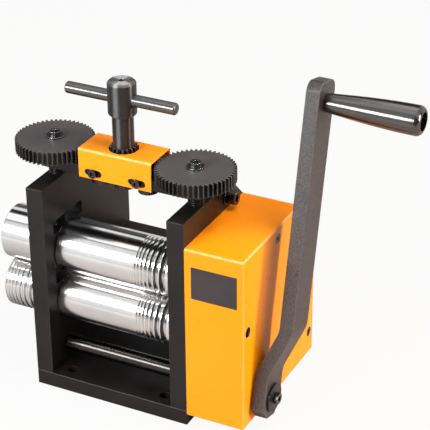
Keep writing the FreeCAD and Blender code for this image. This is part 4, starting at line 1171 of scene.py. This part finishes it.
@dataclass
class RollerLine:
    """One roller with its extension ring and gears."""

    level: Level
    body: float = 23.5
    journal: float = 11.0
    seat: float = 10.0
    half: float = 56.725
    ring_end: float = 110.625
    ring_wide: float = 37.0
    shaft_end: float = 116.325
    end_bevel: float = 0.3
    ring_bevel: float = 1.2
    ring_groove_steps: int = 8
    ease: float = 0.16
    sides: int = 160
    groove_first: float = 19.0
    groove_wide: float = 1.5
    groove_growth: float = 1.24
    groove_land: float = 1.15
    groove_count: int = 7
    ring_first: float = 2.4
    ring_groove: float = 1.5
    ring_growth: float = 1.22
    ring_land: float = 1.3
    ring_count: int = 7
    rough: tuple[float, float] = (0.13, 0.21)

    @property
    def centre(self) -> tuple[float, float, float]:
        """A point on the roller's axis."""
        return (0.0, ROLLER_LINE, self.level.value)

    def build(self) -> None:
        """Build the roller, its ring and what holds them."""
        word = self.level.word
        steel = turned_steel("Ground %s roller steel" % word, "roller_steel", 0.73, self.centre, "X",
                             self.rough, relief=0.2, stretch=0.5)
        self.roller(steel)
        self.ring(steel)
        flange = screw_recipe(word.title() + " ring screw head", head=12.5, high=5.0, socket=7.2, knurls=24,
                              flange=30.0, flange_high=3.0)
        place_screws(word + "_ring_screw_head", flange, {Axis.LEFT: [(-self.ring_end, *self.centre[1:])]},
                     [word + "_ring_screw"])
        for node in ("pairing_gear", "shaft_keys", "retaining_ring"):
            dress_node("%s_%s" % (word, node), GEAR_STEEL if node == "pairing_gear" else SPRING_STEEL)

    def roller(self, steel: Finish) -> None:
        """The roller with its vee grooves.

        Args:
            steel: Its finish.
        """
        bevelled = self.body - self.end_bevel
        profile = [(-self.ring_end, 0), (-self.ring_end, self.seat), (-PLATE_OUTER, self.seat),
                   (-PLATE_OUTER, self.journal), (-self.half, self.journal), (-self.half, bevelled),
                   (-self.half + self.end_bevel, self.body)]
        row = growing_row(self.groove_first, self.groove_wide, self.groove_growth, self.groove_land,
                          self.groove_count)
        for middle, reach in row:
            profile += [(middle - reach, self.body), (middle, self.body - reach), (middle + reach, self.body)]
        profile += [(self.half - self.end_bevel, self.body), (self.half, bevelled),
                    (self.half, self.journal), (PLATE_OUTER, self.journal), (PLATE_OUTER, self.seat),
                    (self.shaft_end, self.seat), (self.shaft_end, 0)]
        name = self.level.word + "_roller"
        turned_piece(name + "_turned", profile, Axis.RIGHT, self.centre, steel, [name], self.ease,
                     self.sides)

    def ring(self, steel: Finish) -> None:
        """The extension ring: plain above, with half-round grooves below.

        Args:
            steel: Its finish.
        """
        bevel, steps = self.ring_bevel, self.ring_groove_steps
        profile = [(0, self.seat), (0, self.body - bevel), (bevel, self.body)]
        if self.level is Level.LOWER:
            for middle, reach in growing_row(self.ring_first, self.ring_groove, self.ring_growth,
                                             self.ring_land, self.ring_count):
                for step in range(steps + 1):
                    angle = math.pi * step / steps
                    profile.append((middle - reach * math.cos(angle), self.body - reach * math.sin(angle)))
        profile += [(self.ring_wide - bevel, self.body), (self.ring_wide, self.body - bevel),
                    (self.ring_wide, self.seat)]
        node = self.level.word + "_extension_ring"
        turned_piece(node + "_turned", profile, Axis.RIGHT, (-self.ring_end, *self.centre[1:]), steel,
                     [node], self.ease, self.sides, ring=True)


def growing_row(first: float, wide: float, growth: float, land: float,
                count: int) -> list[tuple[float, float]]:
    """Grooves in a row, each wider than the one before.

    Args:
        first: Middle of the first groove.
        wide: Its width.
        growth: Each width against the one before.
        land: Metal left between two grooves.
        count: How many there are.

    Returns:
        Middle and half width of each groove.
    """
    row = []
    middle = first
    for _ in range(count):
        row.append((middle, wide / 2))
        middle += wide / 2 + land + wide * growth / 2
        wide *= growth
    return row


@dataclass
class Crank:
    """Drive shaft, crank arm and grip."""

    shaft_radius: float = 7.0
    shaft_end_radius: float = 6.0
    shaft_shoulder: float = 56.625
    arm_ease: float = 0.7
    arm_start: float = 126.525
    arm_face: float = 138.525
    washer_dia: float = 25.0
    washer_thick: float = 2.0
    washer_bore: float = 6.4
    grip_start: float = 156.225
    grip_long: float = 80.0
    grip_root: float = 7.6
    grip_end: float = 12.1
    grip_round: float = 4.5
    bore: float = 4.05
    counterbore: float = 7.8
    counterbore_deep: float = 14.0
    spindle_gap: float = 0.3
    belly_steps: int = 24
    end_steps: int = 6
    crank_radius: float = 253.5
    lean: float = 12.9

    @property
    def grip_axis(self) -> tuple[float, float]:
        """The grip's axis: back, then up."""
        angle = math.radians(self.lean)
        return (CRANK_LINE + self.crank_radius * math.sin(angle),
                CRANK_AXIS + self.crank_radius * math.cos(angle))

    def build(self) -> None:
        """Build the shaft, the arm, its fastenings and the grip."""
        self.shaft()
        softened("crank_arm", ARM_PAINT, self.arm_ease, segments=3)
        self.washer()
        head = screw_recipe("Crank screw head", head=9.6, high=4.0, socket=5.4, knurls=20)
        seat = (self.arm_face + self.washer_thick, CRANK_LINE, CRANK_AXIS)
        place_screws("crank_screw_head", head, {Axis.RIGHT: [seat]}, ["crank_screw"])
        self.grip()
        for node in ("drive_pinion", "drive_gear"):
            dress_node(node, GEAR_STEEL)
        dress_node("pinion_pin", BLACK_SCREW)

    def shaft(self) -> None:
        """The drive shaft, with its shoulders between the plates."""
        # face=4.0 paints a highlight on the faces toward +X.
        finish = turned_steel("Drive shaft steel", "blackened_steel", 0.06, (0, CRANK_LINE, CRANK_AXIS), "X",
                              (0.2, 0.3), relief=0.15, warm=0.05, face=4.0)
        shoulder, thin, thick = self.shaft_shoulder, self.shaft_end_radius, self.shaft_radius
        profile = [(-PLATE_OUTER, 0), (-PLATE_OUTER, thin), (-shoulder, thin), (-shoulder, thick),
                   (shoulder, thick), (shoulder, thin), (self.arm_start, thin), (self.arm_start, 0)]
        turned_piece("drive_shaft_turned", profile, Axis.RIGHT, (0, CRANK_LINE, CRANK_AXIS), finish,
                     ["drive_shaft"], ease=0.3, sides=96)

    def washer(self) -> None:
        """The washer under the crank screw."""
        outer, inner = self.washer_dia / 2, self.washer_bore / 2
        profile = [(0, inner), (0, outer), (self.washer_thick, outer), (self.washer_thick, inner)]
        finish = turned_steel("Washer steel", "black_screw", 0.03, (0, CRANK_LINE, CRANK_AXIS), "X",
                              (0.25, 0.4), relief=0.2, metallic=0.8)
        turned_piece("crank_washer_turned", profile, Axis.RIGHT, (self.arm_face, CRANK_LINE, CRANK_AXIS),
                     finish, ["crank_washer"], ease=0.25, sides=72, ring=True)

    def grip(self) -> None:
        """The tapered grip, with the spindle's head sunk in its end."""
        line, height = self.grip_axis
        finish = turned_steel("Grip steel", "blackened_steel", 0.12, (0, line, height), "X", (0.17, 0.25),
                              warm=0.05)
        length, curve = self.grip_long, self.grip_round
        arc = [(length - curve + curve * math.sin(angle), self.grip_end - curve + curve * math.cos(angle))
               for angle in (math.pi / 2 * step / self.end_steps for step in range(self.end_steps + 1))]
        belly = [(share * (length - curve),
                  self.grip_root + (self.grip_end - self.grip_root) * math.sin(share * math.pi / 2))
                 for share in (step / self.belly_steps for step in range(self.belly_steps))]
        profile = [(0, self.bore), *belly, *arc,
                   (length, self.counterbore), (length - self.counterbore_deep, self.counterbore),
                   (length - self.counterbore_deep, self.bore)]
        turned_piece("grip_turned", profile, Axis.RIGHT, (self.grip_start, line, height), finish,
                     ["handle_grip"], ease=0.25, sides=112, ring=True)
        head = screw_recipe("Grip spindle head", head=12.6, high=5.0, socket=7.3, knurls=20)
        seat = (self.grip_start + length - self.counterbore_deep + self.spindle_gap, line, height)
        place_screws("grip_spindle_head", head, {Axis.RIGHT: [seat]}, ["grip_spindle"])


@dataclass
class GearGuard:
    """The orange cover over the gears, its screws and its bare plate."""

    cover_ease: float = 0.3
    screw_ease: float = 0.15
    plate_ease: float = 0.12

    def build(self) -> None:
        """Build the cover and what is on it."""
        softened("gear_cover", ORANGE, self.cover_ease)
        softened("cover_screws", DARK_SCREW, self.screw_ease)
        softened("bare_plate", DARK_PLATE, self.plate_ease)
        dress_node("cover_standoffs", BLOCK_STEEL)


@dataclass
class ScrewDown:
    """Bridge, gears, pressure screws and the tee handle."""

    bar_ease: float = 0.4
    cover_ease: float = 0.35
    gear_ease: float = 0.2
    head_ease: float = 0.6
    thread_low: float = 142.7
    retainer_gap: float = 0.1
    slot_side: float = 20.1
    slot_height: float = 206.2
    slot_face: float = 16.6
    cap_profile: tuple[tuple[float, float], ...] = (
        (0, 0), (0, 6), (27.4, 6), (27.4, 8.8), (54.2, 8.8), (54.2, 9.8), (56.2, 11.8), (82.2, 11.8),
        (84.2, 9.8), (84.2, 2.4), (81.2, 2.4), (80.0, 0))
    bar_half: float = 50.0
    bar_shift: float = -1.0
    bar_radius: float = 5.0
    bar_bevel: float = 1.0
    bar_height: float = 270.3

    def build(self) -> None:
        """Build the screw-down from the bridge outward."""
        self.bridge()
        self.gears()
        self.pressure_screws()
        self.tee_handle()

    def bridge(self) -> None:
        """The bar, its orange cover and their screws."""
        softened("bridge_bar", BLOCK_STEEL, self.bar_ease)
        softened("bridge_cover", ORANGE, self.cover_ease)
        slot_screw = screw_recipe("Slot screw heads", head=7.4, high=2.4, socket=3.8, knurls=12)
        spots = {turn: [(side * self.slot_side, ROLLER_LINE + face * self.slot_face, self.slot_height)
                        for side in (-1, 1)] for face, turn in ((-1, Axis.FRONT), (1, Axis.BACK))}
        place_screws("slot_screw_heads", slot_screw, spots, ["bridge_cover_screws"], DARK_SCREW,
                     self.head_ease)
        stud = screw_recipe("Stud heads", head=17.0, high=9.6, socket=9.2, knurls=28)
        seats = [(side * IDLER_SIDE, ROLLER_LINE, BAR_LOW) for side in (-1, 1)]
        place_screws("stud_heads", stud, {Axis.DOWN: seats}, ["idler_studs"], DARK_SCREW)
        place_screws("retainer_head", stud, {Axis.DOWN: [(0, ROLLER_LINE, BAR_LOW - self.retainer_gap)]},
                     ["spindle_retainer"], DARK_SCREW)

    def gears(self) -> None:
        """Two big gears, two idlers and the pinion."""
        for node in ("left_screw_gear", "right_screw_gear", "left_idler_gear", "right_idler_gear",
                     "adjuster_pinion"):
            softened(node, GEAR_STEEL, self.gear_ease, flat=True)
        head = screw_recipe("Gear screw heads", head=9.6, high=3.6, socket=5.2, knurls=20, flange=14.8,
                            flange_high=1.4)
        for word, side in SIDES.items():
            seat = (side * SCREW_SIDE, ROLLER_LINE, GEAR_TOP)
            place_screws(word + "_gear_screw_head", head, {Axis.UP: [seat]}, [word + "_gear_screw"],
                         ease=self.head_ease)

    def pressure_screws(self) -> None:
        """Two threaded screws under the bridge bar."""
        thread = thread_recipe("Pressure screw thread", radius=7.0, depth=1.15, pitch=2.0,
                               length=BAR_LOW - self.thread_low)
        for word, side in SIDES.items():
            seat = (side * SCREW_SIDE, ROLLER_LINE, self.thread_low)
            screw = smooth(thread.run(word + "_screw_thread", [seat], BLOCK_STEEL), angle=50.0)
            finish_piece(screw, BLOCK_STEEL, word + "_screw", word + "_pressure_screw")

    def tee_handle(self) -> None:
        """The headed spindle and its cross bar."""
        # face=6.0 paints a highlight on the cap's top.
        upright = turned_steel("Tee handle steel", "blackened_steel", 0.085, (0, ROLLER_LINE, 0), "Z",
                               (0.36, 0.43), relief=0.2, stretch=0.96, face=6.0)
        turned_piece("tee_handle_turned", self.cap_profile, Axis.UP, (0, ROLLER_LINE, BAR_LOW), upright,
                     ["tee_handle"], ease=0.35, sides=112)
        across = turned_steel("Cross bar steel", "blackened_steel", 0.16, (0, ROLLER_LINE, self.bar_height),
                              "X", (0.3, 0.42), relief=0.2)
        length, radius, bevel = 2 * self.bar_half, self.bar_radius, self.bar_bevel
        profile = [(0, 0), (0, radius - bevel), (bevel, radius), (length - bevel, radius),
                   (length, radius - bevel), (length, 0)]
        turned_piece("cross_bar_turned", profile, Axis.RIGHT,
                     (self.bar_shift - self.bar_half, ROLLER_LINE, self.bar_height), across,
                     ["cross_bar"], ease=0.3, sides=96)


# ------------------------------------------------------------------- studio


def aim(thing: bpy.types.Object, place: Sequence[float], target: Sequence[float]) -> None:
    """Put a lamp or a camera in its place and turn it to what it looks at.

    Args:
        thing: The object.
        place: Where it stands, in metres.
        target: The spot that it looks at, in metres.
    """
    thing.location = place
    thing.rotation_mode = "QUATERNION"
    thing.rotation_quaternion = (Vector(target) - Vector(place)).to_track_quat("-Z", "Y")


def stage_sheet(name: str, corners: Sequence[Sequence[float]], shader: Shader) -> bpy.types.Object:
    """A flat sheet that belongs to the studio.

    Args:
        name: The object's name.
        corners: Its four corners, in metres.
        shader: Its material.

    Returns:
        The object.
    """
    mesh = bpy.data.meshes.new(name)
    mesh.from_pydata(corners, [], [(0, 1, 2, 3)])
    mesh.materials.append(shader.material)
    sheet = new_object(name, mesh)
    return sheet


@dataclass
class Studio:
    """Camera, floor, soft lights and the cards that metal mirrors.

    The eye and the target are in millimetres, the room's sizes in metres.
    """

    eye: tuple[float, float, float] = (610.4, -1074.15, 817.6)
    target: tuple[float, float, float] = (122.94, -70.25, 214.44)
    lens: float = 139.1
    sensor: float = 36.0
    clip: tuple[float, float] = (0.05, 20.0)
    shift: tuple[float, float] = (-0.0606, -0.0068)
    world_level: float = 0.34
    world_tint: Colour = (1.0, 0.56, 0.46)
    white_level: float = 0.95
    mirrored_level: float = 0.112
    floor_reach: float = 20.0
    floor_drop: float = 0.0003
    floor_tint: Colour = (0.46, 0.50, 0.52)
    floor_glow: float = 0.93
    lit_spot: tuple[float, float, float] = (0.05, 0.0, 0.13)

    def build(self) -> None:
        """Set up the camera, the floor, the world and the lamps."""
        bpy.context.scene.view_settings.view_transform = "Standard"
        self.camera()
        self.floor()
        self.world()
        self.lamps()

    def camera(self) -> None:
        """A long lens that looks down at the mill from the front right."""
        data = bpy.data.cameras.new("Camera")
        data.lens = self.lens
        data.sensor_width = self.sensor
        data.shift_x, data.shift_y = self.shift
        data.clip_start, data.clip_end = self.clip
        camera = new_object("Camera", data)
        aim(camera, Vector(self.eye) * MM, Vector(self.target) * MM)
        bpy.context.scene.camera = camera

    def floor(self) -> None:
        """A plain pale floor that keeps the mill's shadow."""
        shader = Shader("Pale floor")
        shader.surface.inputs["Base Color"].default_value = rgba(self.floor_tint)
        shader.surface.inputs["Roughness"].default_value = 0.9
        shader.surface.inputs["Specular IOR Level"].default_value = 0.1
        glow = shader.add("ShaderNodeEmission", Color=WHITE, Strength=1.0)
        seen = shader.add("ShaderNodeLightPath").outputs["Is Camera Ray"]
        share = shader.math("MULTIPLY", seen, self.floor_glow)
        shader.show(shader.mix(share, shader.surface.outputs[0], glow.outputs[0]))
        reach = self.floor_reach
        corners = [(-reach, -reach, 0), (reach, -reach, 0), (reach, reach, 0), (-reach, reach, 0)]
        stage_sheet("floor", corners, shader).location.z = -self.floor_drop

    def world(self) -> None:
        """White where the camera looks, dim where metal mirrors it, and a soft warm light."""
        world = bpy.data.worlds.new("Studio")
        bpy.context.scene.world = world
        world.use_nodes = True
        tree = Tree(world.node_tree)
        tree.nodes.clear()
        levels = ((WHITE, self.white_level), (WHITE, self.mirrored_level),
                  (rgba(self.world_tint), self.world_level))
        white, mirrored, soft = [tree.add("ShaderNodeBackground", Color=colour, Strength=level).outputs[0]
                                 for colour, level in levels]
        path = tree.add("ShaderNodeLightPath").outputs
        seen = tree.math("MAXIMUM", path["Is Camera Ray"], path["Is Transmission Ray"])
        unseen = tree.mix(path["Is Glossy Ray"], soft, mirrored)
        output = tree.add("ShaderNodeOutputWorld")
        tree.feed(output.inputs[0], tree.mix(seen, unseen, white))

    def lamps(self) -> None:
        """A soft box in front, fills from the side and above, and cards that metal mirrors."""
        self.panel("Front box", (-0.41, -1.0, 0.6), (0.68, 0.34), 15.0, (1.0, 1.0, 1.0), True)
        self.panel("Side fill", (1.9, 0.36, 0.50), (0.3, 0.8), 32.0, (1.0, 0.82, 0.73), True)
        self.panel("Top fill", (0.9, -0.1, 1.6), (0.8, 0.8), 32.0, (1.0, 0.80, 0.68), False)
        self.card("Front card", (-1.5, -1.15, 0.0), (0.0, -1.15, 2.2), 1.0)
        self.card("Overhead card", (-1.5, -0.58, 1.35), (0.3, 0.13, 1.35), 1.6)
        self.card("Grip card", (-0.36, 0.13, 1.35), (0.3, 0.80, 1.35), 2.4)
        self.card("Dark card", (-1.6, 0.14, 1.36), (-0.36, 0.68, 1.36), 0.0)
        self.card("Back card", (-1.6, 0.70, 1.36), (-0.36, 1.30, 1.36), 1.1)
        self.card("Right card", (0.32, -1.2, 1.35), (1.8, 1.3, 1.35), 1.0)
        self.card("Rear card", (0.1, 1.35, 0.0), (2.0, 1.35, 1.3), 1.0)
        self.card("Low rear card", (-2.0, 1.35, 0.0), (0.1, 1.35, 0.3), 1.0)
        self.card("Left card", (-1.62, -0.9, 0.0), (-1.62, 1.2, 0.9), 1.0)

    def panel(self, name: str, place: Sequence[float], size: Sequence[float], power: float,
              tint: Colour, mirrored: bool) -> None:
        """One soft panel that faces the mill.

        Args:
            name: The lamp's name.
            place: Where it stands, in metres.
            size: Its width and height, in metres.
            power: Its power, in watts.
            tint: Its colour.
            mirrored: Whether reflections show it.
        """
        data = bpy.data.lights.new(name, "AREA")
        data.shape = "RECTANGLE"
        data.size, data.size_y = size
        data.energy = power
        data.color = tint
        lamp = new_object(name, data)
        aim(lamp, place, self.lit_spot)
        lamp.visible_glossy = mirrored

    def card(self, name: str, low: Sequence[float], high: Sequence[float], level: float) -> None:
        """A card that only mirrored rays see.

        Args:
            name: The card's name.
            low: Its lowest corner, in metres.
            high: Its opposite corner.
            level: How bright it is, where one is white.
        """
        flat = next(number for number in (2, 0, 1) if abs(high[number] - low[number]) < 1e-6)
        first, second = [number for number in range(3) if number != flat]
        corners = []
        for share, other in ((0, 0), (1, 0), (1, 1), (0, 1)):
            corner = list(low)
            corner[first] += share * (high[first] - low[first])
            corner[second] += other * (high[second] - low[second])
            corners.append(corner)
        shader = Shader(name)
        shader.show(shader.add("ShaderNodeEmission", Color=WHITE, Strength=level).outputs[0])
        card = stage_sheet(name, corners, shader)
        card.visible_camera = card.visible_diffuse = card.visible_shadow = card.visible_transmission = False


def main() -> None:
    """Build the studio and every sub-assembly in order."""
    logging.basicConfig(level=logging.INFO, format="%(name)s: %(message)s")
    rollers = [RollerLine(level) for level in Level]
    for assembly in (Studio(), Frame(), Bearings(), *rollers, Crank(), GearGuard(), ScrewDown()):
        log.info("building %s", type(assembly).__name__)
        assembly.build()


if __name__ == "__main__":
    main()
